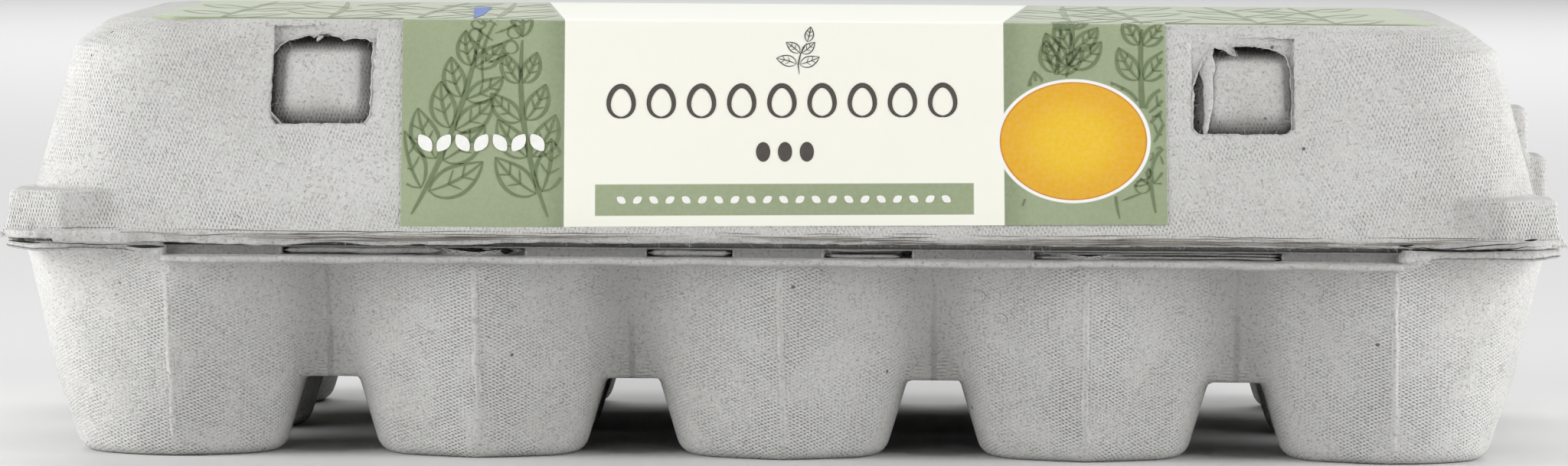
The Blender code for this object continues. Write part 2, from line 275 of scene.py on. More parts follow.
def plug(wire, shader, name):
    wire.tree.links.new(wire.socket, shader.inputs[name])


print("wires ready")

# %% [markdown]
# ## Pulp
#
# Moulded pulp is grey paper with darker and lighter clouds, dark specks and pale fibres. The wire
# screen that it was drawn through leaves rows of small dimples. Dimples in the mesh would need
# millions of faces, so they are drawn in colour and bump: painted shade in each dimple, a painted
# highlight on the pulp between them, and a bump. They follow each wall, so they run on a vector that
# the mesh carries: along the wall, up it, and how strongly the screen shows. A second value says how
# much shade is painted into the colour, and a piece without it has none.

# %% Pulp material
MESH_ALONG = 0.00062
MESH_UP = 0.00140


def make_pulp(name, shade, screen=1.0, torn=0.0):
    """Pulp of a brightness, with the screen's marks and a torn surface as strong as asked."""
    made, shader, place = new_material(name, 0.88)
    wall = place.node("ShaderNodeAttribute", {"attribute_name": "screen"}, {}, 1)
    painted_shade = place.node("ShaderNodeAttribute", {"attribute_name": "painted_shade"}, {}, 2)
    clouds = place.noise(30.0, 4.0, 0.6)
    grain = place.noise(1500.0, 3.0, 0.65)
    drift = (place.noise(70.0, 1.0) - 0.5) * 0.0016 + (place.noise(420.0, 1.0) - 0.5) * 0.0004

    along = wall.part(0) + drift
    up = wall.part(1) + drift
    strength = wall.part(2) * screen
    across = ((along + up * 0.12) * (2 * math.pi / MESH_ALONG)).sum("SINE")
    rows = (up * (2 * math.pi / MESH_UP)).sum("SINE")
    patch = place.noise(160.0, 2.0).ramp(0.36, 0.58, 0.25, 1.0)
    weave = across * rows
    dimple = weave.ramp(0.30, 0.95) * strength * patch
    ridge_highlight = (-weave).ramp(0.30, 0.95) * strength * patch

    pits = place.noise(2100.0, 2.0, 0.6).ramp(0.53, 0.70)
    small = place.node("ShaderNodeTexVoronoi", {"feature": "F1"}, {"Vector": place, "Scale": 640.0})
    dust = (1.0 - small.ramp(0.07, 0.15)) * place.noise(130.0, 0.0).ramp(0.50, 0.56)
    cells = place.node("ShaderNodeTexVoronoi", {"feature": "F1"}, {"Vector": place, "Scale": 190.0})
    specks = (1.0 - cells.ramp(0.045, 0.075)) * place.noise(47.0, 0.0).ramp(0.53, 0.56)
    stretched = place.vector("MULTIPLY", (1.0, 0.5, 2.2))
    threads = 1.0 - abs(stretched.noise(240.0, 0.0) - 0.5).ramp(0.0, 0.012)
    threads = threads * place.noise(330.0, 0.0).ramp(0.60, 0.66)

    def tint(red, green, blue):
        return red * shade, green * shade, blue * shade, 1.0

    colour = clouds.ramp(0.28, 0.72).mix(tint(0.505, 0.500, 0.484), tint(0.580, 0.576, 0.562))
    colour = (grain.ramp(0.35, 0.75) * 0.42).mix(colour, tint(0.720, 0.718, 0.702))
    colour = (pits * 0.56).mix(colour, tint(0.280, 0.272, 0.252))
    # Painted highlight between the screen's dimples, then painted shade in each dimple.
    colour = (ridge_highlight * 0.38).mix(colour, tint(0.740, 0.738, 0.722))
    colour = (dimple * 0.60).mix(colour, tint(0.230, 0.225, 0.210))
    # Painted shade: the colour darkens by the value that each mesh carries for it.
    colour = painted_shade.mix(colour, tint(0.150, 0.145, 0.130))
    colour = (threads * 0.40).mix(colour, tint(0.240, 0.225, 0.200))
    colour = (dust * 0.50).mix(colour, tint(0.170, 0.155, 0.130))
    colour = (specks * 0.80).mix(colour, tint(0.070, 0.062, 0.050))
    plug(colour, shader, "Base Color")

    ragged = place.noise(2600.0, 4.0, 0.7)
    height = clouds * 0.70 + place.noise(260.0, 2.0) * 0.26 + grain * 0.12 - dimple * 0.50 - pits * 0.10
    height = height + threads * 0.04 + ragged * (0.03 + 0.40 * torn)
    bump = place.node("ShaderNodeBump", {}, {"Strength": 0.80, "Distance": 0.0006, "Height": height})
    plug(bump, shader, "Normal")
    plug(grain.ramp(0.2, 0.9, 0.80, 0.97), shader, "Roughness")
    return made


pulp = make_pulp("pulp", 1.0)
torn_pulp = make_pulp("torn_pulp", 0.96, screen=0.0, torn=1.0)
inner_pulp = make_pulp("inner_pulp", 0.88, screen=0.0, torn=0.5)
shaded_pulp = make_pulp("shaded_pulp", 0.45, screen=0.0, torn=0.4)
# A darker copy of the pulp: painted shade for the band under the lid's flange.
band_shade_pulp = make_pulp("band_shade_pulp", 0.54, screen=0.0, torn=0.3)
# Near-black pulp: painted shadow where openings lead into the dark inside.
shadow_pulp = make_pulp("shadow_pulp", 0.04, screen=0.0)
print("pulps:", [made.name for made in (pulp, torn_pulp, inner_pulp, shaded_pulp, band_shade_pulp, shadow_pulp)])

# %% [markdown]
# ## Sculpting helpers
#
# A form is a function that says how far a point is outside it. Forms are joined by a soft minimum,
# which leaves a fillet, and a mesh is settled on a form by moving each of its points along the slope.
# Bevels and Booleans could round such joints too, but moulded pulp flows from one form to the next
# with a fillet that widens and narrows, and a soft minimum gives that in one number.

# %% Fields
def soft_min(a, b, width):
    share = np.clip(0.5 + 0.5 * (b - a) / width, 0.0, 1.0)
    return b + (a - b) * share - width * share * (1.0 - share)


def soft_max(a, b, width):
    return -soft_min(-a, -b, width)


def smoothstep(value, start, end):
    share = np.clip((value - start) / (end - start), 0.0, 1.0)
    return share * share * (3.0 - 2.0 * share)


def rounded_box(x, y, half_x, half_y, radius):
    """Distance outside a rounded rectangle round the origin, in plan."""
    past_x = np.abs(x) - (half_x - radius)
    past_y = np.abs(y) - (half_y - radius)
    corner = np.hypot(np.maximum(past_x, 0.0), np.maximum(past_y, 0.0))
    return corner + np.minimum(np.maximum(past_x, past_y), 0.0) - radius


def slope_of(field, points, step=0.00005):
    here = field(points)
    sides = [field(points + step * np.eye(3)[axis]) - here for axis in range(3)]
    return here, np.stack(sides, axis=1) / step


def settle(points, field, rounds=5, reach=0.0012):
    """Moves points on to the surface where the field is nought."""
    for _ in range(rounds):
        here, slope = slope_of(field, points)
        size = np.maximum((slope ** 2).sum(axis=1), 0.04)
        stride = np.clip(here / np.sqrt(size), -reach, reach) / np.sqrt(size)
        points = points - slope * stride[:, None]
    return points


def wander(length, pitch, seed, soft=False):
    """Seeded ups and downs between -1 and 1 along a length, one for each pitch."""
    draws = np.random.default_rng(seed).uniform(-1.0, 1.0, int(np.max(np.abs(length)) / pitch) * 2 + 8)
    at = length / pitch + len(draws) / 2
    low = np.floor(at).astype(int) % len(draws)
    share = at - np.floor(at)
    if soft:
        share = share * share * (3.0 - 2.0 * share)
    return draws[low] * (1.0 - share) + draws[(low + 1) % len(draws)] * share


print("fields ready")

# %% [markdown]
# ### Mesh helpers
#
# A large piece starts as a copy of a solid, is cut into even small faces by a voxel remesh, and is
# then settled on its form. Sculpting by hand would not give the same result each time. A long thin
# piece, such as the rim, is a loft: one ring of points, extruded from place to place.


# %% Points of a mesh
def points_of(mesh):
    flat = np.empty(len(mesh.vertices) * 3)
    mesh.vertices.foreach_get("co", flat)
    return flat.reshape(-1, 3)


def place_points(mesh, points):
    mesh.vertices.foreach_set("co", points.ravel())
    mesh.update()


def new_piece(bm, name, material, smooth=True):
    """The object of a finished bmesh, faces outwards, riding on the carton."""
    bmesh.ops.recalc_face_normals(bm, faces=bm.faces[:])
    mesh = bpy.data.meshes.new(name)
    bm.to_mesh(mesh)
    bm.free()
    piece = bpy.data.objects.new(name, mesh)
    bpy.context.scene.collection.objects.link(piece)
    mesh.materials.append(material)
    mesh.polygons.foreach_set("use_smooth", [smooth] * len(mesh.polygons))
    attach(piece, "root")
    return piece


print("point helpers ready")


# %% Remeshing
def applied(piece):
    """Makes a piece's modifiers real."""
    graph = bpy.context.evaluated_depsgraph_get()
    mesh = bpy.data.meshes.new_from_object(piece.evaluated_get(graph))
    piece.modifiers.clear()
    spent = piece.data
    piece.data = mesh
    bpy.data.meshes.remove(spent)
    mesh.name = piece.name
    return piece


def remeshed(piece, voxel):
    """A piece cut anew into even faces as wide as a voxel."""
    step = piece.modifiers.new("voxels", "REMESH")
    step.mode = "VOXEL"
    step.voxel_size = voxel
    step.use_smooth_shade = True
    return applied(piece)


def keep_faces(piece, wanted):
    """Drops the faces of a piece whose middle isn't wanted."""
    bm = bmesh.new()
    bm.from_mesh(piece.data)
    spare = [face for face in bm.faces if not wanted(face.calc_center_median())]
    bmesh.ops.delete(bm, geom=spare, context="FACES")
    bm.to_mesh(piece.data)
    bm.free()


def even_out(piece, field, rounds=2):
    """Evens out a remeshed piece and settles it on its field again."""
    for _ in range(rounds):
        bm = bmesh.new()
        bm.from_mesh(piece.data)
        bmesh.ops.smooth_vert(
            bm, verts=bm.verts[:], factor=0.5, use_axis_x=True, use_axis_y=True, use_axis_z=True
        )
        bm.to_mesh(piece.data)
        bm.free()
        place_points(piece.data, settle(points_of(piece.data), field, 3))


def finer(piece, wanted):
    """Cuts the faces of a piece in four where their middle is wanted."""
    bm = bmesh.new()
    bm.from_mesh(piece.data)
    chosen = [face for face in bm.faces if wanted(face.calc_center_median())]
    edges = list(dict.fromkeys(edge for face in chosen for edge in face.edges))
    bmesh.ops.subdivide_edges(bm, edges=edges, cuts=1, use_grid_fill=True)
    bm.to_mesh(piece.data)
    bm.free()


print("remeshing helpers ready")


# %% What a mesh carries, and lofts
def carry_screen(mesh, values):
    """Stores along, up and strength for the wire screen's marks."""
    layer = mesh.attributes.get("screen") or mesh.attributes.new("screen", "FLOAT_VECTOR", "POINT")
    layer.data.foreach_set("vector", np.ascontiguousarray(values, dtype=np.float32).ravel())


def carry_painted_shade(mesh, values):
    """Stores how much painted shade darkens the pulp at each point, from 0 to 1."""
    layer = mesh.attributes.get("painted_shade") or mesh.attributes.new("painted_shade", "FLOAT", "POINT")
    layer.data.foreach_set("value", np.ascontiguousarray(values, dtype=np.float32))


def lofted(rings, cap=False, joined=False):
    """A bmesh skinned over rings of equally many points, with its ends capped or joined."""
    bm = bmesh.new()
    number = bm.verts.layers.int.new("number")
    start = [bm.verts.new(point) for point in rings[0]]
    for k, corner in enumerate(start):
        corner[number] = k
    edges = [bm.edges.new(pair) for pair in zip(start, start[1:] + start[:1])]
    if cap:
        bmesh.ops.contextual_create(bm, geom=edges)
    for ring in rings[1:]:
        made = bmesh.ops.extrude_edge_only(bm, edges=edges)["geom"]
        for thing in made:
            if isinstance(thing, bmesh.types.BMVert):
                thing.co = ring[thing[number]]
        fresh = {thing for thing in made if isinstance(thing, bmesh.types.BMVert)}
        edges = [
            thing for thing in made
            if isinstance(thing, bmesh.types.BMEdge) and thing.verts[0] in fresh and thing.verts[1] in fresh
        ]
    if cap:
        bmesh.ops.contextual_create(bm, geom=edges)
    if joined:
        bmesh.ops.remove_doubles(bm, verts=bm.verts[:], dist=1e-7)
    return bm


print("mesh helpers ready")

# %% [markdown]
# ## The tray
#
# Fifteen tapered cups hang from a web. Each has a slight prow in front and behind, with a pale seam
# down its middle. Between the cups the wall dips in, most of all near its lower edge. One cup could
# be modelled and repeated, but then no fillet would join neighbours, so all the cups are one form.

# %% The tray's form
SEAMS = [
    (-0.09920, -0.09790, 0.00036), (-0.04960, -0.04880, 0.00034), (-0.00060, 0.00040, 0.00030),
    (0.04850, 0.04900, 0.00034), (0.09830, 0.09880, 0.00040),
]


def cup_field(x, y, z, column, row):
    """Distance outside one cup, without its flat foot."""
    dx = x - COLUMNS[column]
    dy = y - ROWS[row]
    outside = (dx < 0) if column == 0 else (dx > 0) if column == 4 else np.zeros(len(x), bool)
    half_x = CUP_HALF_X + np.where(outside, 0.0011 * smoothstep(z, 0.0, 0.014) + END_DRAFT * z, CUP_DRAFT * z)
    half_y = CUP_HALF_Y + CUP_DRAFT * z
    size = np.abs(dx / half_x) ** CUP_ROUNDNESS + np.abs(dy / half_y) ** CUP_ROUNDNESS
    size = size ** (1 / CUP_ROUNDNESS)
    far = np.hypot(dx, dy) + 1e-9
    reach = far / np.maximum(size, 1e-6)
    turn = np.degrees(np.arccos(np.clip(np.abs(dy) / far, 0.0, 1.0)))
    facet = np.where(outside, 20.0 + 38.0 * smoothstep(z, 0.000, 0.030), FACET)
    chord = np.cos(np.radians(facet / 2)) / np.cos(np.radians(np.minimum(turn, facet) - facet / 2))
    flat = FLATNESS * np.where((dx > 0) & (column == 0), 0.35, 1.0)
    reach = reach * (1.0 - flat * (1.0 - chord)) + PROW * soft_max(0.0, 1.0 - turn / 36.0, 0.06)
    return (far - reach) * 0.957


def web_field(x, y, z):
    reach = np.interp(z, WEB_LEVELS, WEB_REACHES)
    side = rounded_box(x, y, 2 * PITCH + reach, PITCH + reach, 0.005) * 0.78
    return soft_max(side, WEB - z, 0.0010)


def tray_field(points):
    x, y, z = points.T
    width = 0.0007 + 0.0055 * smoothstep(z, 0.0130, 0.0240)
    d = web_field(x, y, z)
    for column in range(5):
        for row in range(3):
            d = soft_min(d, cup_field(x, y, z, column, row), width)
    for column in (-1.5, -0.5, 0.5, 1.5):
        for row in (-0.5, 0.5):
            radius = np.interp(z, [0.0104, 0.0200, 0.0280], [0.0118, 0.0084, 0.0040])
            hollow = soft_max(np.hypot(x - column * PITCH, y - row * PITCH) - radius, z - 0.0275, 0.003)
            d = soft_max(d, -hollow, 0.0012)
    d = soft_max(d, -z, 0.0024)
    return np.maximum(d, z - BAND_TOP)


probe = np.array([[0.0, -0.0687, 0.015], [0.0, -0.049, 0.0], [0.0245, -0.060, 0.0124]])
print("distances at three known places, mm:", np.round(tray_field(probe) * 1000, 2))

# %% [markdown]
# ### The tray's mesh
#
# The solid tray gives the start, so that nothing of it is left out. The remesh evens its faces, and
# its points then settle on the form above. The part inside the rim is dropped, since a ledge and
# the rim's own lofts close the carton there.


# %% A copy of a solid
def copy_of(node, name, material, extra=()):
    """A merged copy of a node's mesh, with boxes added that fill its hollows."""
    bm = bmesh.new()
    bm.from_mesh(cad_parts[node].data)
    bmesh.ops.remove_doubles(bm, verts=bm.verts[:], dist=1e-6)
    for low, high in extra:
        middle = (Vector(low) + Vector(high)) / 2
        spread = Matrix.Diagonal(Vector(high) - Vector(low)).to_4x4()
        bmesh.ops.create_cube(bm, size=1.0, matrix=Matrix.Translation(middle) @ spread)
    return new_piece(bm, name, material)


print("faces of the solid tray:", len(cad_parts["tray"].data.polygons))


# %% The tray
def cup_screen(points):
    """The screen's marks run round each cup, and are strongest beside its seam."""
    x, y, z = points.T
    column = np.clip(np.round(x / PITCH), -2, 2)
    row = np.clip(np.round(y / PITCH), -1, 1)
    dx = x - column * PITCH
    dy = y - row * PITCH
    along = np.arctan2(dx, -dy) * (0.0175 + CUP_DRAFT * z)
    beside = np.exp(-((np.abs(dx) - 0.0030) / 0.0040) ** 2)
    lower = 1.0 - smoothstep(z, 0.004, 0.030)
    valley = smoothstep(np.abs(dx), 0.0170, 0.0235) * smoothstep(z, 0.010, 0.020)
    strength = (0.45 + 0.55 * beside + 0.35 * lower) * (1.0 - 0.8 * valley)
    return np.stack([z * 1.04, along, strength], axis=1)


def cup_painted_shade(points):
    """Painted shade in the hollows between the cups, growing towards the rim."""
    x, y, z = points.T
    between = np.abs(x - np.clip(np.round(x / PITCH), -2, 2) * PITCH)
    hollow = smoothstep(between, 0.0150, 0.0225) * smoothstep(z, 0.006, 0.030) * (np.abs(x) < 0.1000)
    return 0.26 * hollow


tray = copy_of("tray", "tray_pulp", pulp)
remeshed(tray, 0.00102)
keep_faces(tray, lambda middle: middle.z < (0.0336 if abs(middle.x) < 0.103 else 0.0346))
place_points(tray.data, settle(points_of(tray.data), tray_field))
even_out(tray, tray_field)
carry_screen(tray.data, cup_screen(points_of(tray.data)))
carry_painted_shade(tray.data, cup_painted_shade(points_of(tray.data)))
tray.data.polygons.foreach_set("use_smooth", [True] * len(tray.data.polygons))
print("tray:", len(tray.data.polygons), "faces")

# %% [markdown]
# ### Seams of the front cups
#
# Two halves of the mould meet down the front of each cup and pinch a low pale ridge. It could be
# drawn in bump alone, but it shows in the outline of its shadow, so it is a thin loft whose foot
# lies inside the cup's wall. A field's surface is found from the front by halving.


# %% Finding the front
def front_of(field, x, z, near=-0.0790, deep=-0.0560):
    """How far back a field's surface lies at places seen from the front, by halving."""
    near = np.full(len(x), near)
    deep = np.full(len(x), deep)
    for _ in range(18):
        middle = (near + deep) / 2
        inside = field(np.column_stack([x, middle, z])) < 0
        deep = np.where(inside, middle, deep)
        near = np.where(inside, near, middle)
    return (near + deep) / 2


print("front of the middle cup, mm:", np.round(front_of(tray_field, np.zeros(1), np.full(1, 0.02)) * 1000, 2))


# %% Seams and the ledge
SEAM_PROFILE = [
    (-0.0011, -0.45), (-0.0005, 0.20), (-0.0001, 1.0), (0.0003, 0.85), (0.0006, 0.10), (0.0012, -0.45),
]


def seam(number):
    """A pinched ridge down the front of a cup, from the rim to the foot."""
    low, high, proud = SEAMS[number]
    z = np.linspace(0.0318, 0.0022, 90)
    share = np.linspace(0.0, 1.0, 90)
    x = low + (high - low) * share + 0.00025 * wander(share * 0.03, 0.0040, 300 + number, True)
    fade = np.sin(math.pi * np.clip(share, 0.02, 0.985)) ** 0.35
    swell = proud * fade * (0.8 + 0.35 * wander(share * 0.03, 0.0025, 320 + number, True))
    rings = []
    for offset, rise in SEAM_PROFILE:
        across = x + offset * (0.8 + 0.3 * share)
        y = front_of(tray_field, across, z) - swell * rise + 0.00006
        rings.append(np.column_stack([across, y, z]))
    inner = [np.column_stack([ring[:, 0], ring[:, 1] + 0.0012, z]) for ring in (rings[-1], rings[0])]
    stations = np.array(rings + inner).transpose(1, 0, 2)
    return lofted(list(stations), cap=True)


def add_shape(whole, part):
    """Moves a shape into a larger bmesh."""
    mesh = bpy.data.meshes.new("part")
    part.to_mesh(mesh)
    part.free()
    whole.from_mesh(mesh)
    bpy.data.meshes.remove(mesh)


def joined_piece(name, parts, material):
    """One piece made of several closed shapes."""
    whole = bmesh.new()
    for part in parts:
        add_shape(whole, part)
    piece = new_piece(whole, name, material)
    return piece


ledge = bmesh.new()
flat = Matrix.Diagonal((2 * HALF_X - 0.012, 2 * HALF_Y - 0.014, 0.0006)).to_4x4()
bmesh.ops.create_cube(ledge, size=1.0, matrix=Matrix.Translation((0.0, -0.0010, 0.0346)) @ flat)
joined_piece("ledge", [ledge], pulp)
seams = joined_piece("seams", [seam(number) for number in range(5)], pulp)
carry_screen(seams.data, cup_screen(points_of(seams.data)) * [1.0, 1.0, 0.3])
print("seams:", len(seams.data.polygons), "faces")

# %% [markdown]
# ## The lid
#
# The lid's wall leans in to a fold, and a bevel goes on to the top. In the middle of the front the
# wall runs straight up to the top instead. Square bosses stand on the rim's corners, and stepped
# ribs on its right end. A shallow pressed field surrounds each window. A box with bevelled edges
# would be quicker, but the front's wall bends softly into the ends' bevels, as one form does here.

# %% The lid's form
BOSS_SIDE = 0.0168
BOSS_INSET = 0.0021
BOSS_TOP = 0.0436
RIBS = [(0.0006, 0.0484), (0.0036, 0.0564)]
FIELDS = [(-0.08205, -0.06560), (0.06543, 0.08196)]
FIELD_TOP = 0.0697


def face_inset(z):
    """How far in the middle of the lid's front lies at a height."""
    return WALL_FOOT_INSET + (FACE_TOP_INSET - WALL_FOOT_INSET) * (z - WALL_FOOT) / (SHOULDER - WALL_FOOT)


def lid_top(y):
    """The height of the lid's top, which sinks a little towards the back."""
    front = -(HALF_Y - FACE_TOP_INSET)
    back = HALF_Y - SHOULDER_INSET
    return SHOULDER - 0.0010 * (y - front) / (back - front)


def plan_wall(x, y, inset_x, inset_y):
    """Distance outside the lid's wall at each point's own height."""
    return rounded_box(x, y, HALF_X - inset_x, HALF_Y - inset_y, WALL_RADIUS)


def lid_field(points):
    """Distance outside the whole lid."""
    x, y, z = points.T
    rise = (z - WALL_FOOT) / (FOLD - WALL_FOOT)
    lower = WALL_FOOT_INSET + (FOLD_INSET - WALL_FOOT_INSET) * rise
    upper = FOLD_INSET + (SHOULDER_INSET - FOLD_INSET) * (z - FOLD) / (SHOULDER - FOLD)
    flat = (1.0 - smoothstep(np.abs(x), 0.070, 0.098)) * (y < 0)
    lower_y = lower + flat * (face_inset(z) - lower)
    upper_y = upper - flat * 0.0060
    wall = plan_wall(x, y, lower, lower_y) * 0.969
    bevel = plan_wall(x, y, upper, upper_y) * 0.604
    d = soft_max(wall, bevel, 0.0005)
    d = soft_max(d, z - lid_top(y), 0.0008)
    flange = rounded_box(x, y, HALF_X - 0.0012, HALF_Y - 0.0012, 0.0085)
    d = soft_min(d, soft_max(flange, z - RIM_TOP + 0.0001, 0.0006), 0.0022)
    for side_x in (-1, 1):
        for side_y in (-1, 1):
            d = soft_min(d, boss_field(x, y, z, side_x, side_y), 0.0008)
    for row in (-0.5, 0.5):
        d = soft_min(d, rib_field(x, y, z, row * PITCH), 0.0010)
    return np.maximum(d, 0.0362 - z)


print("lid's top at its front edge, mm:", round(lid_top(-0.063) * 1000, 2))


# %% Bosses and ribs
def boss_field(x, y, z, side_x, side_y):
    """Distance outside a corner's boss, whose front has two shallow facets."""
    half = BOSS_SIDE / 2 + 0.03 * (BOSS_TOP - z) + 0.0010 * np.exp(-(z - 0.0372) / 0.0009)
    back_room = HINGE_ROOM if side_y > 0 else 0.0
    middle_x = side_x * (HALF_X - BOSS_INSET - BOSS_SIDE / 2)
    middle_y = side_y * (HALF_Y - BOSS_INSET - back_room - BOSS_SIDE / 2)
    side = rounded_box(x - middle_x, y - middle_y, half, half, 0.0026)
    out_x = side_x * (x - middle_x)
    out_y = side_y * (y - middle_y)
    inner = out_y * 0.945 - out_x * 0.326 - 0.0079
    outer = out_y * 0.940 + out_x * 0.342 - 0.0079
    side = soft_max(soft_max(side, inner, 0.0004), outer, 0.0004)
    return soft_max(side, z - BOSS_TOP + 0.02 * out_x, 0.0007)


def rib_field(x, y, z, middle):
    """Distance outside a stepped rib of the right end."""
    d = np.full(len(x), 1.0)
    for inset, top in RIBS:
        half = 0.0080 + 0.03 * (top - z)
        reach = x - (HALF_X - inset - 0.02 * (z - 0.0372))
        block = soft_max(np.abs(y - middle) - half, reach, 0.0010)
        block = soft_max(block, HALF_X - 0.030 - x, 0.001)
        d = soft_min(d, soft_max(block, z - top, 0.0008), 0.0010)
    return d


print("bosses: 4, steps of a rib:", len(RIBS))

# %% [markdown]
# ### The lid's mesh
#
# It is made as the tray's is, with one more step. The bosses, the ribs and the fold are crisp in
# life, and a finer remesh of the whole lid would need several times the faces. So only the faces
# near those forms are cut in four, and settled again.


# %% What the lid carries
def lid_screen(points):
    """The screen's marks run round the wall, and are strongest at the ends and low down."""
    x, y, z = points.T
    near_x = np.clip(x, -0.095, 0.095)
    near_y = np.clip(y, -0.046, 0.046)
    turn = np.arctan2(np.abs(x - near_x), -(y - near_y))
    around = np.hypot(x - near_x, y - near_y)
    along = near_x + np.sign(x) * (around * turn + near_y + 0.046)
    on_top = smoothstep(z, 0.0695, 0.0703)
    along = along * (1 - on_top) + x * on_top
    inward = np.maximum(0.116 - np.abs(x), 0.0)
    sag = 0.36 * inward ** 2 / (inward + 0.050)
    up = (z * 1.05 + sag) * (1 - on_top) + (y + 0.14) * on_top
    ends = smoothstep(np.abs(x), 0.074, 0.102)
    low = 1.0 - smoothstep(z, 0.0395, 0.0430)
    beneath = smoothstep(z, 0.048, 0.051) * (1.0 - smoothstep(z, 0.052, 0.054))
    under = np.exp(-((np.abs(x) - 0.0745) / 0.0090) ** 2) * beneath
    strength = (0.24 + 0.52 * ends + 0.45 * low + 0.70 * under) * (1.0 - 0.7 * on_top)
    return np.stack([along, up, strength], axis=1)


def boss_painted_shade(points):
    """Painted shade on the facets of the bosses that face the middle."""
    x, y, z = points.T
    out_x = np.abs(x) - (HALF_X - BOSS_INSET - BOSS_SIDE / 2)
    facet = smoothstep(out_x, -0.0088, -0.0078) * (1.0 - smoothstep(out_x, -0.0008, 0.0008))
    at_front = smoothstep(np.abs(y), HALF_Y - 0.0072, HALF_Y - 0.0050) * smoothstep(z, 0.0378, 0.0392)
    depth = 0.03 + 0.15 * smoothstep(-out_x, 0.0020, 0.0085)
    return depth * facet * at_front * (1.0 - smoothstep(z, BOSS_TOP - 0.0004, BOSS_TOP + 0.0006))


# The bosses' value is painted shade.
print("screen and dirt of the lid ready")


# %% The lid
fillers = [((low - 0.001, -0.0700, 0.0520), (high + 0.001, -0.0560, 0.0640)) for low, high in FIELDS]
fillers += [((low - 0.001, -0.0640, 0.0630), (high + 0.001, -0.0560, 0.0705)) for low, high in FIELDS]
lid = copy_of("lid", "lid_pulp", pulp, fillers)
remeshed(lid, 0.0012)
place_points(lid.data, settle(points_of(lid.data), lid_field))
even_out(lid, lid_field)


def crisp_part(spot):
    """True at the bosses, the ribs and the fold of each end."""
    boss = spot.z < 0.0462 and abs(spot.x) > 0.1030 and abs(spot.y) > 0.0500
    rib = spot.x > 0.1120 and abs(abs(spot.y) - PITCH / 2) < 0.0120 and spot.z < 0.0590
    fold = abs(spot.x) > 0.0900 and abs(spot.z - FOLD) < 0.0016
    return boss or rib or fold


finer(lid, crisp_part)
place_points(lid.data, settle(points_of(lid.data), lid_field, 4))
print("lid:", len(lid.data.polygons), "faces")


# %% [markdown]
# ### Windows and buttons
#
# The lid is a thin shell in life, so each window is a ragged hole through a thin edge, with a wider
# dark hollow behind. The hole could be drawn as a dark patch, but from the side it would show. So
# a loft with the hole's torn outline is cut out of the lid, first for the pressed field round the
# window and then for the window itself. The walls of a cut keep the cutter's torn pulp.

# %% Windows
WINDOW_LEFT = [
    (-82.49, 56.67), (-82.36, 54.97), (-81.48, 54.15), (-74.0, 54.10), (-67.21, 54.25), (-66.32, 55.56),
    (-66.20, 61.00), (-66.11, 67.23), (-67.07, 67.84), (-69.29, 67.88), (-70.76, 67.57), (-71.39, 68.05),
    (-72.38, 68.17), (-73.63, 68.69), (-74.73, 68.52), (-75.70, 67.90), (-76.33, 68.26), (-77.81, 68.01),
    (-79.64, 67.51), (-81.34, 66.52), (-82.20, 65.18),
]
WINDOW_RIGHT = [
    (65.70, 60.80), (65.66, 54.40), (66.30, 53.50), (74.00, 53.42), (80.70, 53.50), (81.50, 54.40),
    (81.62, 59.00), (81.29, 63.96), (80.68, 65.90), (79.21, 66.86), (77.00, 67.34), (74.91, 67.63),
    (71.84, 67.42), (72.70, 66.09), (70.86, 66.81), (69.14, 67.28), (68.10, 66.60), (67.10, 65.10),
    (66.30, 62.80),
]
print("corners of the windows:", len(WINDOW_LEFT), len(WINDOW_RIGHT))


# %% Cutters
def ragged(outline, seed, step=0.00035, depth=0.00011):
    """An outline in millimetres cut into short steps, in metres, with a little tearing."""
    corners = np.array(outline) / 1000
    following = np.roll(corners, -1, axis=0)
    line = []
    for a, b in zip(corners, following):
        count = max(2, int(np.hypot(*(b - a)) / step))
        line += [a + (b - a) * k / count for k in range(count)]
    line = np.array(line)
    tangent = np.roll(line, -1, axis=0) - np.roll(line, 1, axis=0)
    normal = np.stack([tangent[:, 1], -tangent[:, 0]], axis=1) / np.hypot(*tangent.T)[:, None]
    return line + normal * (wander(np.arange(len(line)) * step, step * 1.4, seed) * depth)[:, None]


def window_cutter(outline, seed):
    """The shape of a window's hole, narrow through the lid's edge and wider behind it."""
    line = ragged(outline, seed)
    middle = line.mean(axis=0)
    wide = middle + (line - middle) * 1.16
    wide[:, 1] = np.minimum(wide[:, 1], 0.0693)
    face = face_inset(line[:, 1]) - HALF_Y
    behind = np.minimum(face_inset(wide[:, 1]) - HALF_Y + 0.0022, -0.0592)
    rings = [
        np.stack([line[:, 0], np.full(len(line), -HALF_Y), line[:, 1]], axis=1),
        np.stack([line[:, 0], face + 0.0019, line[:, 1]], axis=1),
        np.stack([wide[:, 0], behind, wide[:, 1]], axis=1),
        np.stack([wide[:, 0], np.full(len(line), -0.0588), wide[:, 1]], axis=1),
    ]
    return new_piece(lofted(rings, cap=True), "cutter", inner_pulp, smooth=False)


def field_cutter(low, high, foot, top, depth, seed):
    """A shallow pressed field of the lid's front with torn sides."""
    corners = [(low, foot), (high, foot), (high, top), (low, top)]
    line = ragged([(px * 1000, pz * 1000) for px, pz in corners], seed, depth=0.00016)
    face = face_inset(line[:, 1]) - HALF_Y
    deeper = depth * np.clip((top - line[:, 1]) / (top - foot), 0.0, 1.0) - 0.00004
    rings = [
        np.stack([line[:, 0], np.full(len(line), -HALF_Y), line[:, 1]], axis=1),
        np.stack([line[:, 0], face + deeper, line[:, 1]], axis=1),
    ]
    return new_piece(lofted(rings, cap=True), "cutter", torn_pulp, smooth=False)


print("cutters ready")


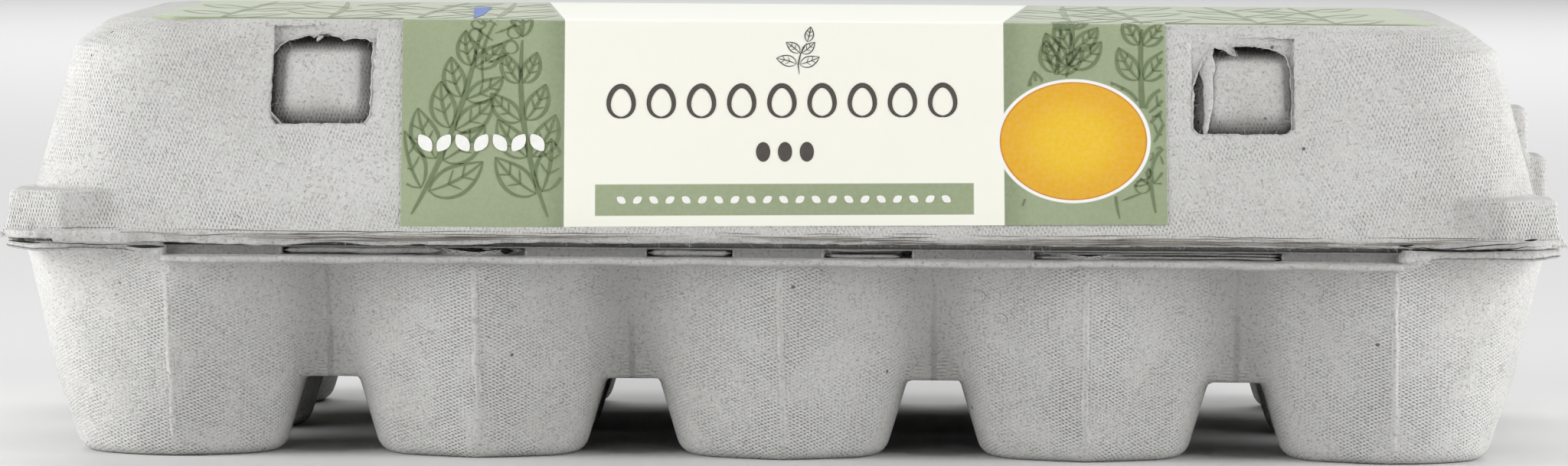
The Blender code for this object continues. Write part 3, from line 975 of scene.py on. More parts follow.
# %% Cutting the windows
def cut(piece, cutters):
    """Takes the cutters out of a piece, applies it and removes them."""
    tools = bpy.data.collections.new("tools")
    bpy.context.scene.collection.children.link(tools)
    for cutter in cutters:
        bpy.context.scene.collection.objects.unlink(cutter)
        tools.objects.link(cutter)
    step = piece.modifiers.new("cut", "BOOLEAN")
    step.operation = "DIFFERENCE"
    step.operand_type = "COLLECTION"
    step.collection = tools
    step.solver = "EXACT"
    step.material_mode = "TRANSFER"
    applied(piece)
    for cutter in cutters:
        bpy.data.objects.remove(cutter, do_unlink=True)
    bpy.data.collections.remove(tools)


FIELD_LEFT = (*FIELDS[0], 0.0650, 0.0698, 0.00060)
FIELD_RIGHT = (*FIELDS[1], 0.0543, 0.0688, 0.00080)
cut(lid, [field_cutter(*FIELD_LEFT, 5), field_cutter(*FIELD_RIGHT, 6)])
cut(lid, [window_cutter(WINDOW_LEFT, 3), window_cutter(WINDOW_RIGHT, 4)])
carry_screen(lid.data, lid_screen(points_of(lid.data)))
carry_painted_shade(lid.data, boss_painted_shade(points_of(lid.data)))
print("lid with windows:", len(lid.data.polygons), "faces")

# %% [markdown]
# ### Buttons
#
# A button of the inner flap fills most of each window: a flat pillow with four facets that meet in
# soft hips, with painted shade round its foot. An inset and a bevel would give straight facets, but
# the real ones swell, so each button is lofted over rounded rectangles, from deep in the window to its
# front.


# %% A button's rings
def upright(x, z, half_x, half_z, radius, depth, corner_steps=6, side_steps=5):
    """A rounded rectangle parallel to the lid's front, depth behind it."""
    ring = []
    for number in range(4):
        side_x = -1 if number in (0, 3) else 1
        side_z = -1 if number in (0, 1) else 1
        for k in range(corner_steps + 1):
            angle = math.radians(180 + 90 * number + 90 * k / corner_steps)
            px = x + side_x * (half_x - radius) + radius * math.cos(angle)
            pz = z + side_z * (half_z - radius) + radius * math.sin(angle)
            ring.append((px, pz))
    points = []
    for place, (a, b) in enumerate(zip(ring, ring[1:] + ring[:1])):
        steps = side_steps if place % (corner_steps + 1) == corner_steps else 1
        for k in range(steps):
            px, pz = a[0] + (b[0] - a[0]) * k / steps, a[1] + (b[1] - a[1]) * k / steps
            points.append((px, min(face_inset(pz) - HALF_Y + depth, -0.0593), pz))
    return points


# Each level: half its width, half its height, its corners' radius, its depth and its lift.
BUTTON_LEVELS = [
    (0.00850, 0.0074, 0.0024, 0.0070, -0.0007), (0.00850, 0.0072, 0.0024, 0.0046, -0.0007),
    (0.00830, 0.0069, 0.0022, 0.0036, -0.0006), (0.00770, 0.0063, 0.0020, 0.0026, -0.0004),
    (0.00700, 0.0055, 0.0018, 0.0018, -0.0001), (0.00635, 0.00480, 0.0015, 0.00130, 0.0001),
    (0.00595, 0.00425, 0.0012, 0.00098, 0.0002), (0.00570, 0.00390, 0.0010, 0.00084, 0.0003),
    (0.00540, 0.00355, 0.0009, 0.00074, 0.0004), (0.00480, 0.00300, 0.0007, 0.00060, 0.0006),
    (0.00390, 0.00230, 0.0005, 0.00044, 0.0008), (0.00290, 0.00160, 0.0004, 0.00030, 0.0010),
    (0.00200, 0.00095, 0.0003, 0.00022, 0.0011), (0.00120, 0.00040, 0.0002, 0.00018, 0.0012),
]


print("rings of a button:", len(BUTTON_LEVELS))


# %% Buttons
def make_button(name, x, z, node):
    rings = [upright(x, z + lift, *level) for *level, lift in BUTTON_LEVELS]
    bm = lofted(rings, cap=True)
    button = new_piece(bm, name, pulp)
    spots = points_of(button.data)
    sides = smoothstep(spots[:, 1] + HALF_Y - face_inset(spots[:, 2]), 0.0008, 0.0020)
    carry_screen(button.data, np.stack([spots[:, 0], spots[:, 2], 0.15 + 0.85 * sides], axis=1))
    # Painted shade on the button: darker on its deep sides and foot, along its top, on its right side and a
    # little in its middle.
    over = (spots[:, 2] - z) / 0.0046
    beside = np.abs(spots[:, 0] - x) / 0.0058
    middle = np.clip(1.2 - beside * 1.1, 0.0, 1.0) * np.clip(1.1 - np.abs(over + 0.25), 0.0, 1.0)
    low = smoothstep(-over, 0.30 + 0.35 * beside, 1.25 + 0.25 * beside)
    button_shade = 0.20 * sides + 0.12 * middle + 0.40 * low + 0.55 * smoothstep(over, 0.90, 1.15)
    carry_painted_shade(button.data, np.clip(button_shade + 0.15 * smoothstep(spots[:, 0] - x, 0.0058, 0.0072), 0.0, 0.8))
    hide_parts(node)
    return button


make_button("button_left", -0.0741, 0.0611, "lock_button_left")
make_button("button_right", 0.0745, 0.0605, "lock_button_right")
print("buttons made")

# %% [markdown]
# ### Torn bits round the windows
#
# Where the pulp tore, a thin pale burr stands round each hole, and a few tongues of torn layers
# curl into it. They could be pulled out of the lid's mesh, but they are thinner than its faces, so
# each is a small loft of its own, laid along a few places on the lid's front.


# %% Burrs and tongues
def on_front(x, z, sink):
    """Places on the front of the lid, sunk behind it."""
    return np.column_stack([x, face_inset(z) - HALF_Y + sink, z])


def edge_lip(outline, seed):
    """A thin pale burr round a window's edge."""
    line = ragged(outline, seed)
    size = 0.00013 + 0.00007 * wander(np.arange(len(line)) * 0.00035, 0.0009, seed + 9)
    middle = line.mean(axis=0)
    out = line - middle
    out = out / np.hypot(*out.T)[:, None]
    rings = []
    for angle in np.radians([0, 72, 144, 216, 288]):
        spot = line + out * (np.cos(angle) * size - 0.00004)[:, None]
        rings.append(on_front(spot[:, 0], spot[:, 1], np.sin(angle) * size + 0.00002))
    rings.append(rings[0])
    return lofted(rings, joined=True)


CURL_PROFILE = [
    (-1.0, 0.28), (-0.8, 0.02), (0.0, -0.12), (0.75, 0.05),
    (1.0, 0.30), (0.6, 0.42), (0.0, 0.32), (-0.6, 0.40),
]


def curl(spine, widths, sinks, seed):
    """A torn tongue of pulp along a spine of places on the front, curled in its depth."""
    spine = np.array(spine) / 1000
    share = np.linspace(0.0, 1.0, 60)
    spots = np.linspace(0.0, 1.0, len(spine))
    x = np.interp(share, spots, spine[:, 0]) + 0.00010 * wander(share * 0.02, 0.0018, seed, True)
    z = np.interp(share, spots, spine[:, 1])
    half = np.interp(share, np.linspace(0, 1, len(widths)), widths) / 2000
    half = half * (1.0 + 0.22 * wander(share * 0.02, 0.0012, seed + 1))
    sink = np.interp(share, np.linspace(0, 1, len(sinks)), sinks) / 1000
    way = np.column_stack([np.gradient(x), np.gradient(z)])
    side = np.column_stack([-way[:, 1], way[:, 0]]) / (np.hypot(*way.T)[:, None] + 1e-12)
    rings = []
    for offset, deep in CURL_PROFILE:
        px = x + side[:, 0] * half * offset
        pz = z + side[:, 1] * half * offset
        rings.append(on_front(px, pz, sink + deep / 1000))
    stations = np.array(rings).transpose(1, 0, 2)
    return lofted(list(stations), cap=True)


print("burrs and tongues ready")

# %% The torn bits
CURLS = [
    ([(67.6, 66.9), (67.9, 64.0), (68.2, 61.0), (68.2, 58.0), (68.0, 55.6), (67.6, 53.3)],
     [2.6, 2.3, 1.7, 1.5, 1.1, 0.7], [0.2, 0.25, 0.35, 0.45, 0.5, 0.6]),
    ([(71.0, 67.7), (71.7, 66.7), (72.6, 65.9)], [1.6, 1.0, 0.3], [0.25, 0.2, 0.3]),
    ([(-82.3, 56.0), (-81.9, 55.2), (-81.1, 54.4), (-80.4, 54.1)],
     [0.3, 0.7, 0.6, 0.2], [0.4, 0.7, 0.7, 0.4]),
    ([(-79.9, 67.7), (-78.4, 67.9), (-76.9, 68.2)], [0.4, 0.6, 0.2], [0.2, 0.0, 0.2]),
    ([(-74.6, 68.3), (-74.9, 67.8), (-75.2, 67.3)], [0.9, 0.7, 0.2], [0.3, 0.2, 0.3]),
]
torn_bits = [edge_lip(WINDOW_LEFT, 3), edge_lip(WINDOW_RIGHT, 4)]
torn_bits += [curl(*row, 500 + 10 * number) for number, row in enumerate(CURLS)]
joined_piece("torn_bits", torn_bits, torn_pulp)
print("torn bits:", len(torn_bits))

# %% [markdown]
# ## The rims
#
# Where the halves meet, the pulp ends in torn edges. The lid's flange shows its fluffy edge. In
# front, the tray's rim is a folded strip that stands back above a lip, with four slots in which
# loose layers of pulp show. Noise on a straight edge would wobble all of it alike. Each rim is a
# loft of rings round the carton instead, so every ring can wave, fray or step back by itself.

# %% The way round the rim
def rim_path(step):
    """Points round the rim, the way out at each, and the distance from the front's middle."""
    inset, radius = 0.0006, 0.0084
    half_x = HALF_X - inset - radius
    low = -(HALF_Y - inset - radius)
    high = HALF_Y - HINGE_ROOM - radius
    runs = [
        ((0.0, low), (half_x, low), 270), ((half_x, low), (half_x, high), 0),
        ((half_x, high), (-half_x, high), 90), ((-half_x, high), (-half_x, low), 180),
        ((-half_x, low), (0.0, low), 270),
    ]
    spots, ways = [], []
    for number, (start, end, facing) in enumerate(runs):
        count = int(math.dist(start, end) / step)
        out = (math.cos(math.radians(facing)), math.sin(math.radians(facing)))
        for k in range(count):
            share = k / count
            spots.append([a + (b - a) * share + radius * o for a, b, o in zip(start, end, out)])
            ways.append(out)
        if number < 4:
            count = int(radius * math.pi / 2 / step)
            for k in range(count):
                angle = math.radians(facing + 90 * k / count)
                out = (math.cos(angle), math.sin(angle))
                spots.append([end[0] + radius * out[0], end[1] + radius * out[1]])
                ways.append(out)
    spots, ways = np.array(spots), np.array(ways)
    walked = np.concatenate([[0.0], np.cumsum(np.hypot(*np.diff(spots, axis=0).T))])
    walked = np.where(walked > walked[-1] / 2, walked - walked[-1] - step, walked)
    return spots, ways, walked


print("once round the rim, mm:", round(2000 * float(rim_path(0.0007)[2].max())))

# %% Rings round the rim
STEP = 0.00032
SPOTS, WAYS, WALKED = rim_path(STEP)
IN_FRONT = np.abs(WALKED) < 0.1165
INSIDE = -0.0060


def rim_ring(out, z):
    """A ring round the rim, out from its outline and at a height, each a number or one for each point."""
    out = np.broadcast_to(out, WALKED.shape)
    z = np.broadcast_to(z, WALKED.shape)
    return np.column_stack([SPOTS + WAYS * out[:, None], z])


def hump(middle, half):
    """One at a distance round the rim, fading softly to nought at half away."""
    return 1.0 - smoothstep(np.abs(WALKED - middle), half * 0.45, half)


print("rim:", len(WALKED), "points round")


# %% The lid's torn edge
def lid_edge():
    """The flange's edge in four loose layers, which hangs lower on the left."""
    frayed = 0.00022 * wander(WALKED, 0.0031, 11, True) + 0.00009 * wander(WALKED, 0.0006, 12)
    left = 1.0 - smoothstep(WALKED, -0.0440, -0.0380)
    low = (0.00010 + 0.00022 * left) * wander(WALKED, 0.0090, 13, True) + 0.00009 * wander(WALKED, 0.0011, 14)
    low = low - 0.0005 * left * IN_FRONT - 0.0003 * hump(-0.0640, 0.0060)
    high = 0.00008 * wander(WALKED, 0.0050, 15, True)
    layers = [0.00010 * wander(WALKED, 0.0005, 20 + k) for k in range(4)]
    rings = [
        rim_ring(INSIDE, RIM_TOP - 0.0003),
        rim_ring(-0.0012, RIM_TOP - 0.00012 + high),
        rim_ring(-0.00050 + frayed, RIM_TOP + 0.00010 + high + layers[1] * 0.6),
        rim_ring(-0.00025 + frayed, RIM_TOP + 0.00006 + high + layers[2] * 0.6),
        rim_ring(-0.00002 + frayed, RIM_TOP - 0.00022 + high),
        rim_ring(0.00002 + frayed + layers[0], RIM_TOP - 0.00045 + high),
        rim_ring(-0.00012 + frayed + layers[1], RIM_TOP - 0.00065 + low * 0.4),
        rim_ring(0.00004 + frayed + layers[2], RIM_TOP - 0.00085 + low * 0.7),
        rim_ring(-0.00006 + frayed + layers[3], LID_FOOT + 0.00022 + low),
        rim_ring(-0.00030 + frayed, LID_FOOT + 0.00006 + low),
        rim_ring(-0.0012, LID_FOOT + low * 0.7),
        rim_ring(INSIDE, LID_FOOT + 0.0001),
        rim_ring(INSIDE, RIM_TOP - 0.0003),
    ]
    edge = new_piece(lofted(rings, joined=True), "lid_edge", torn_pulp)
    return edge


def inner_wall():
    """The inner flap's edge, which closes the gap between the halves a little way in."""
    rings = [rim_ring(-0.0036, 0.0346), rim_ring(-0.0034, 0.0354), rim_ring(-0.0036, 0.0364)]
    rings += [rim_ring(INSIDE, 0.0364), rim_ring(INSIDE, 0.0346), rim_ring(-0.0036, 0.0346)]
    wall = new_piece(lofted(rings, joined=True), "inner_wall", shaded_pulp)


lid_edge()
inner_wall()
print("lid's edge made")

# %% [markdown]
# ### The tray's rim
#
# The lock strip is folded up along the front, so its rim has a lip below, a band that stands back,
# and slots cut through the band. Booleans could cut the slots, but the torn lip and the slots'
# ends run into each other, so the rings step back where a slot is. Rolled layers lie in the slots.

# %% The tray's rim
SLOTS = [(-0.0800, -0.0411), (-0.0216, -0.0079), (0.0068, 0.0208), (0.0403, 0.0799)]
HOLES = [(-0.0537, -0.0484), (-0.0459, -0.0432), (0.0192, 0.0206)]


def between(start, end, soft=0.0003):
    """One between two places along the front, falling to nought over a short way."""
    begun = smoothstep(WALKED, start - soft, start + soft)
    ended = smoothstep(WALKED, end - soft, end + soft)
    return begun * (1.0 - ended) * IN_FRONT


def tray_rim():
    """The lip, the band that stands back, and the slots, as one loft."""
    band = between(-0.0990, 0.0990)
    slots = sum(between(low, high) for low, high in SLOTS)
    holes = sum(between(low, high) for low, high in HOLES)
    close = (1.0 - band) * (0.00045 + 0.00018 * wander(WALKED, 0.0120, 31, True))
    close = close - 0.00045 * hump(-0.1240, 0.0050) - 0.00035 * hump(0.1290, 0.0030)
    ripple = 0.00016 * wander(WALKED, 0.0070, 32, True) + 0.00006 * wander(WALKED, 0.0009, 33)
    frayed = 0.00016 * wander(WALKED, 0.0040, 34, True) + 0.00007 * wander(WALKED, 0.0007, 35)
    fold = -0.0021 * band
    deep = fold - 0.0034 * slots - 0.0030 * holes
    ends = 1.0 - between(-0.1020, 0.1020, 0.0040)
    foot = LIP_FOOT + 0.0018 * ends
    band_foot = BAND_FOOT + 0.0011 * ends
    rings = [
        rim_ring(-0.0070, foot + 0.0002),
        rim_ring(-0.0030, foot - 0.0002 + ripple * 0.5),
        rim_ring(-0.0012 + 0.0004 * band + frayed, foot + ripple),
        rim_ring(-0.0010 + 0.0008 * band + frayed, foot + 0.0002 + ripple),
        rim_ring(-0.0008 + 0.00075 * band + frayed, foot + 0.0005 + ripple),
        rim_ring(-0.0008 + 0.00065 * band + frayed, band_foot - 0.0002 + ripple),
        rim_ring(-0.0008 + 0.0002 * band + frayed, band_foot + ripple * 0.6),
        rim_ring(fold - 0.0009 * ends, band_foot + 0.00010 + ripple * 0.4),
        rim_ring(deep - 0.0009 * ends, band_foot + 0.00014 + ripple * 0.3),
        rim_ring(deep - 0.0001 - 0.0009 * ends, BAND_TOP - 0.00016 + close),
        rim_ring(fold + 0.0001 * band - 0.0008 * ends, BAND_TOP - 0.00014 + close),
        rim_ring(fold - 0.0002 - 0.0008 * ends, BAND_TOP + close),
        rim_ring(-0.0070, BAND_TOP + close * 0.5),
        rim_ring(-0.0070, foot + 0.0002),
    ]
    rim = new_piece(lofted(rings, joined=True), "tray_rim", torn_pulp)
    # The band's front faces take the darker pulp: painted shade under the lid's flange.
    rim.data.materials.append(band_shade_pulp)
    for face in rim.data.polygons:
        x, y, z = face.center
        in_band = abs(x) < 0.0985 and y < -0.0700 and 0.03352 < z < 0.03505
        face.material_index = int(in_band and face.normal.y < -0.6)
    # Painted shade on the lip below the band, fading out towards the ends.
    x, y, z = points_of(rim.data).T
    lip = 0.14 * (1.0 - smoothstep(z, 0.0334, 0.0338))
    carry_painted_shade(rim.data, lip * (1.0 - smoothstep(np.abs(x), 0.080, 0.105)))
    return rim


tray_rim()
print("slots:", len(SLOTS), "holes:", len(HOLES))


# %% Loose layers in the slots
def strip(start, end, height, thick, front, seed):
    """A closed loose layer of pulp that lies along the front, wavy and torn at its edge."""
    count = int((end - start) / STEP)
    along = np.linspace(start, end, count)
    wave = 0.00010 * wander(along, 0.0060, seed, True) + 0.00003 * wander(along, 0.0014, seed + 1)
    edge = 0.00025 * wander(along, 0.0045, seed + 2, True) + 0.00010 * wander(along, 0.0008, seed + 3)
    size = thick * (0.92 + 0.14 * wander(along, 0.0030, seed + 4, True))
    ends = np.minimum(1.0, np.minimum(along - start, end - along) / 0.0012 + 0.08)
    y = -HALF_Y + 0.0006 + front + edge * ends + 0.0006 * (1.0 - ends)
    z = height + wave
    around = [
        (y + 0.0030, z + size * 0.5), (y + 0.0007, z + size * 0.5 * ends),
        (y + 0.0002, z + size * 0.36 * ends), (y, z + size * 0.10 * ends),
        (y + 0.0001, z - size * 0.16 * ends), (y + 0.0004, z - size * 0.42 * ends),
        (y + 0.0009, z - size * 0.5 * ends), (y + 0.0030, z - size * 0.5),
    ]
    stations = np.array([np.column_stack([along, py, pz]) for py, pz in around]).transpose(1, 0, 2)
    return lofted(list(stations), cap=True)


ROLLS = [
    (-0.0797, -0.0545, 0.0342, 0.00100, 0.0029), (-0.0480, -0.0462, 0.0344, 0.00070, 0.0032),
    (-0.0430, -0.0413, 0.0343, 0.00085, 0.0031), (-0.0214, -0.0081, 0.0341, 0.00105, 0.0028),
    (0.0071, 0.0190, 0.03385, 0.00070, 0.0029), (0.0070, 0.0196, 0.0347, 0.00036, 0.0031),
    (0.0406, 0.0797, 0.0338, 0.00052, 0.0030), (0.0404, 0.0797, 0.0344, 0.00036, 0.0032),
    (0.0404, 0.0720, 0.0348, 0.00026, 0.0030),
]
rolls = [strip(*roll, 50 + 10 * number) for number, roll in enumerate(ROLLS)]
print("rolls:", len(rolls))

# %% Scraps in the slots, and painted shadow in their gaps
SCRAPS = [
    (-0.0534, 0.0012, 0.9), (-0.0521, 0.0010, 2.2), (-0.0507, 0.0012, 0.5),
    (-0.0494, 0.0009, 1.9), (-0.0449, 0.0009, 1.2),
]
scraps = bmesh.new()
flattened = Matrix.Diagonal((1.0, 0.5, 0.22)).to_4x4()
for x, size, angle in SCRAPS:
    spot = Matrix.Translation((x, -HALF_Y + 0.0046, 0.0342)) @ Matrix.Rotation(angle, 4, "Y")
    bmesh.ops.create_icosphere(scraps, subdivisions=2, radius=size / 2, matrix=spot @ flattened)
joined_piece("slot_layers", [*rolls, scraps], torn_pulp)
# Near-black strips of painted shadow stand where the slots open into the dark inside.
GAPS = [
    (-0.0536, -0.0476, 0.0342, 0.00150, 0.0034), (-0.0455, -0.0430, 0.0342, 0.00130, 0.0034),
    (0.0192, 0.0209, 0.0343, 0.00140, 0.0032),
]
gap_shadows = [strip(*gap, 150 + 10 * number) for number, gap in enumerate(GAPS)]
joined_piece("slot_gap_shadows", gap_shadows, shadow_pulp)
print("scraps:", len(SCRAPS), "gaps:", len(gap_shadows))

# %% [markdown]
# ### Fibres
#
# Fine pale fibres stand out along the torn edges. Blender's hair would do, but it isn't a mesh and
# would be left out of the exported model, so each fibre is a thread with three sides and few faces.


# %% A fibre
def fibre(bm, line, radius):
    """A thin three-sided thread along a line."""
    line = np.asarray(line, float)
    way = np.gradient(line, axis=0)
    way = way / (np.linalg.norm(way, axis=1)[:, None] + 1e-12)
    side = np.cross(way, [0.31, 0.22, 0.92])
    side = side / (np.linalg.norm(side, axis=1)[:, None] + 1e-12)
    other = np.cross(way, side)
    share = np.sin(np.linspace(0.25, math.pi - 0.25, len(line)))[:, None] * radius
    rings = []
    for spot, a, b, size in zip(line, side, other, share):
        rings.append([spot + (a * math.cos(t) + b * math.sin(t)) * size for t in (0.0, 2.1, 4.2)])
    add_shape(bm, lofted(rings, cap=True))


FIBRES_LOW = [-HALF_X + 0.0002, -HALF_Y + 0.0002, 0.0008]
FIBRES_HIGH = [HALF_X - 0.0002, HALF_Y - 0.0002, 0.0700]


def fringe(bm, roots, out, count, seed, length=0.0011, radius=0.000030):
    """Short curled fibres at places picked along a line, leaning out of it."""
    draws = np.random.default_rng(seed)
    for _ in range(count):
        at = draws.integers(len(roots))
        lean = np.array(out[at]) + draws.normal(0.0, 0.55, 3)
        size = length * draws.uniform(0.35, 1.0)
        bend = draws.normal(0.0, 0.7, 3)
        t = np.linspace(0.0, 1.0, 5)[:, None]
        line = roots[at] + (lean * t + bend * t * (t - 0.4)) * size
        line = np.clip(line, FIBRES_LOW, FIBRES_HIGH)
        fibre(bm, line, radius * draws.uniform(0.7, 1.3))


print("fibre helpers ready")

# %% Fibres along the torn edges
threads = bmesh.new()
fringed = np.abs(WALKED) < 0.1900
edge_line = rim_ring(-0.00020, LID_FOOT + 0.00035)[fringed]
outwards = np.column_stack([WAYS * 0.35, np.full(len(WAYS), -0.35)])[fringed]
outwards[:, :2] += np.column_stack([-WAYS[:, 1], WAYS[:, 0]])[fringed] * 0.5
fringe(threads, edge_line, outwards, 900, 700)
lip_line = rim_ring(-0.00035, LIP_FOOT + 0.0010)[IN_FRONT]
fringe(threads, lip_line, np.tile([0.6, -0.2, 0.15], (len(lip_line), 1)), 260, 701, 0.0009)
for outline, seed in ((WINDOW_LEFT, 3), (WINDOW_RIGHT, 4)):
    line = ragged(outline, seed)
    roots = on_front(line[:, 0], line[:, 1], -0.00005)
    from_middle = line - line.mean(axis=0)
    away = np.column_stack([from_middle[:, 0], np.zeros(len(line)), from_middle[:, 1]])
    away = -away / np.linalg.norm(away, axis=1)[:, None] * 0.5 + [0.3, 0.0, 0.2]
    fringe(threads, roots, away, 90, 702 + seed, 0.0008, 0.000028)
fibres = new_piece(threads, "fibres", torn_pulp)
print("fibres:", len(fibres.data.polygons), "faces")

# %% [markdown]
# ### Hairs, and painted shade in the cracks
#
# A few darker hairs lie in the surface. Dark threads of painted shade run along the lid's foot and its
# torn edge, where layers of pulp part and the partings lie in shade. Painted into the pulp's colour,
# the shade would smear across the wavy layers. The same threads are used again, along the front of
# each form, and a line of shade breaks off here and there.

# %% Hairs
hairs = bmesh.new()
# Each hair: its place from left to right, its height, its length, its angle and its bend.
HAIRS = [
    (0.0310, 0.0262, 0.0046, -0.5, 900), (0.0345, 0.0240, 0.0030, 0.6, -900),
    (-0.0235, 0.0170, 0.0016, 1.4, 300), (0.0247, 0.0165, 0.0018, 1.2, -500),
    (-0.0865, 0.0215, 0.0012, 0.9, 200), (-0.1075, 0.0160, 0.0013, -0.9, 200),
    (-0.1068, 0.0290, 0.0012, -1.1, 200), (0.0620, 0.0095, 0.0014, 0.2, 300),
    (0.0860, 0.0270, 0.0022, 0.4, 700),
]
LID_HAIRS = [
    (-0.1035, 0.0410, 0.0016, 0.6, -900), (-0.0885, 0.0398, 0.0028, 0.2, -500),
    (-0.0990, 0.0490, 0.0012, 1.2, 300), (0.0880, 0.0560, 0.0020, -0.5, 600),
    (0.1010, 0.0470, 0.0013, 1.0, 300), (-0.0765, 0.0440, 0.0014, 0.1, 400),
]
for field, radius, rows in ((tray_field, 0.000060, HAIRS), (lid_field, 0.000050, LID_HAIRS)):
    for x, z, length, angle, bend in rows:
        turn = angle + bend * (np.linspace(0.0, 1.0, 12) * length)
        px = x + np.cumsum(np.cos(turn)) * length / 12
        pz = z + np.cumsum(np.sin(turn)) * length / 12
        fibre(hairs, np.column_stack([px, front_of(field, px, pz) - 0.00003, pz]), radius)
print("hairs:", len(HAIRS) + len(LID_HAIRS))


# %% Painted shade in the cracks
def crack_shade(start, end, z, radius, seed, sunk=None):
    """A dark thread of painted shade in a crease along the front of the lid or its torn edge, broken here and
    there.
    """
    x = np.arange(start, end, 0.00045)
    height = z + 0.00016 * wander(x, 0.0120, seed, True) + 0.00007 * wander(x, 0.0022, seed + 1)
    depth = np.maximum(front_of(lid_field, x, height) - 0.00006, -HALF_Y + 0.0001)
    if sunk is not None:
        depth = np.full(len(x), -HALF_Y + sunk)
    weight = np.clip(0.75 + 0.9 * wander(x, 0.0070, seed + 2, True), 0.0, 1.0)
    run = []
    for spot, share in zip(np.column_stack([x, depth, height]), weight):
        if share > 0.12:
            run.append(spot)
        if (share <= 0.12 or spot[0] >= x[-1]) and run:
            if len(run) > 3:
                fibre(hairs, run, radius)
            run = []


crack_shade(-0.1180, -0.0420, 0.03742, 0.00015, 301)
crack_shade(-0.0415, 0.0400, 0.03732, 0.00015, 302)
crack_shade(0.0405, 0.1200, 0.03740, 0.00015, 303)
for level, height in enumerate((0.03705, 0.03680, 0.03655, 0.03630, 0.03608)):
    crack_shade(-0.1060 + 0.007 * level, -0.0150 - 0.009 * level, height, 0.00010, 310 + level, 0.00026)
    crack_shade(-0.0100 + 0.006 * level, 0.1160 - 0.005 * level, height, 0.00010, 320 + level, 0.00026)


def hair_colour():
    """Grey brown that varies from hair to hair; the cracks' painted shade uses it too."""
    made, shader, place = new_material("hair", 0.8)
    colour = place.noise(90.0, 1.0).ramp(0.4, 0.6).mix((0.16, 0.14, 0.12, 1.0), (0.32, 0.30, 0.26, 1.0))
    plug(colour, shader, "Base Color")
    return made


print("cracks drawn")

# %% Splits in the rim
# Each split: its ends from left to right, its height at each end, and half its width.
SPLITS = [
    (-0.1046, -0.0985, 0.0349, 0.0348, 0.00030), (0.0984, 0.1008, 0.0363, 0.0364, 0.00022),
    (0.1035, 0.1185, 0.0357, 0.0369, 0.00009), (0.1183, 0.1204, 0.0372, 0.0374, 0.00020),
    (-0.1235, -0.1180, 0.0356, 0.0353, 0.00016), (-0.1180, -0.1040, 0.0353, 0.0350, 0.00008),
    (0.0990, 0.1090, 0.0362, 0.0354, 0.00010), (0.1080, 0.1210, 0.0354, 0.0364, 0.00009),
    (-0.0460, -0.0395, 0.0357, 0.0356, 0.00014), (-0.0300, -0.0235, 0.0356, 0.0357, 0.00011),
]
# The splits are near-black threads: painted shadow inside each split.
splits = bmesh.new()
for number, (start, end, low, high, radius) in enumerate(SPLITS):
    x = np.linspace(start, end, max(8, int((end - start) / 0.0004)))
    height = np.linspace(low, high, len(x)) + 0.00010 * wander(x, 0.0016, 400 + number, True)
    fibre(splits, np.column_stack([x, np.full(len(x), -HALF_Y + 0.00034), height]), radius)
split_shadows = new_piece(splits, "rim_splits", shadow_pulp)
hairs_and_crack_shade = new_piece(hairs, "hairs", hair_colour())
print("splits:", len(SPLITS), "faces of hairs and cracks:", len(hairs_and_crack_shade.data.polygons))

# %% [markdown]
# ## The hinge
#
# Along the back the halves are joined by a fold of pulp. It isn't in the photograph, so it is kept
# plain. A bevelled box would do as well, but a loft over rounded outlines gives even faces.


# %% Hinge
HINGE_HEIGHT = 0.03525


def hinge_ring(y, shrink):
    """A rounded upright outline of the hinge at a depth."""
    half_x, half_z, edge = 0.107 - shrink, 0.00475 - shrink, 0.0010
    corners = [
        (-half_x, edge - half_z), (edge - half_x, -half_z), (half_x - edge, -half_z), (half_x, edge - half_z),
        (half_x, half_z - edge), (half_x - edge, half_z), (edge - half_x, half_z), (-half_x, half_z - edge),
    ]
    ring = []
    for k, steps in enumerate((1, 70, 1, 3, 1, 70, 1, 3)):
        a, b = corners[k], corners[(k + 1) % 8]
        for n in range(steps):
            height = HINGE_HEIGHT + a[1] + (b[1] - a[1]) * n / steps
            ring.append((a[0] + (b[0] - a[0]) * n / steps, y, height))
    return ring


def hinge():
    """The fold of pulp along the back."""
    near = HALF_Y - HINGE_ROOM + 0.0004
    levels = [(near, 0.0), (near + 0.0009, 0.0), (near + 0.0014, 0.0004)]
    levels += [(HALF_Y - 0.0001, 0.0016), (HALF_Y, 0.0026)]
    rings = [hinge_ring(y, shrink) for y, shrink in levels]
    fold = new_piece(lofted(rings, cap=True), "hinge", pulp)
    spots = points_of(fold.data)
    carry_screen(fold.data, np.stack([spots[:, 0], spots[:, 2], np.full(len(spots), 0.5)], axis=1))
    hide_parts("hinge_fold")
    return fold


fold = hinge()
print("hinge:", len(fold.data.polygons), "faces")

# %% [markdown]
# ## The label
#
# One paper sheet lies over the lid's top and hangs down the middle of its front, turned a little.
# It could be shrunk on to the lid, but then its edges would ripple with the pulp. The sheet is built
# flat, row by row, and each point is placed on the lid by a rule that rounds it over the fold.
# The mesh carries the page's own coordinates, across and up, and the print is drawn on those.

# %% The label's page
TURN = 0.0112
PAGE_FOOT = 0.03858
LEAN = 10.6 / 32.9
RISE = math.hypot(1.0, LEAN)
FOLD_AT = (SHOULDER + 0.0004 - PAGE_FOOT) * RISE
TOP_FRONT = -0.0630


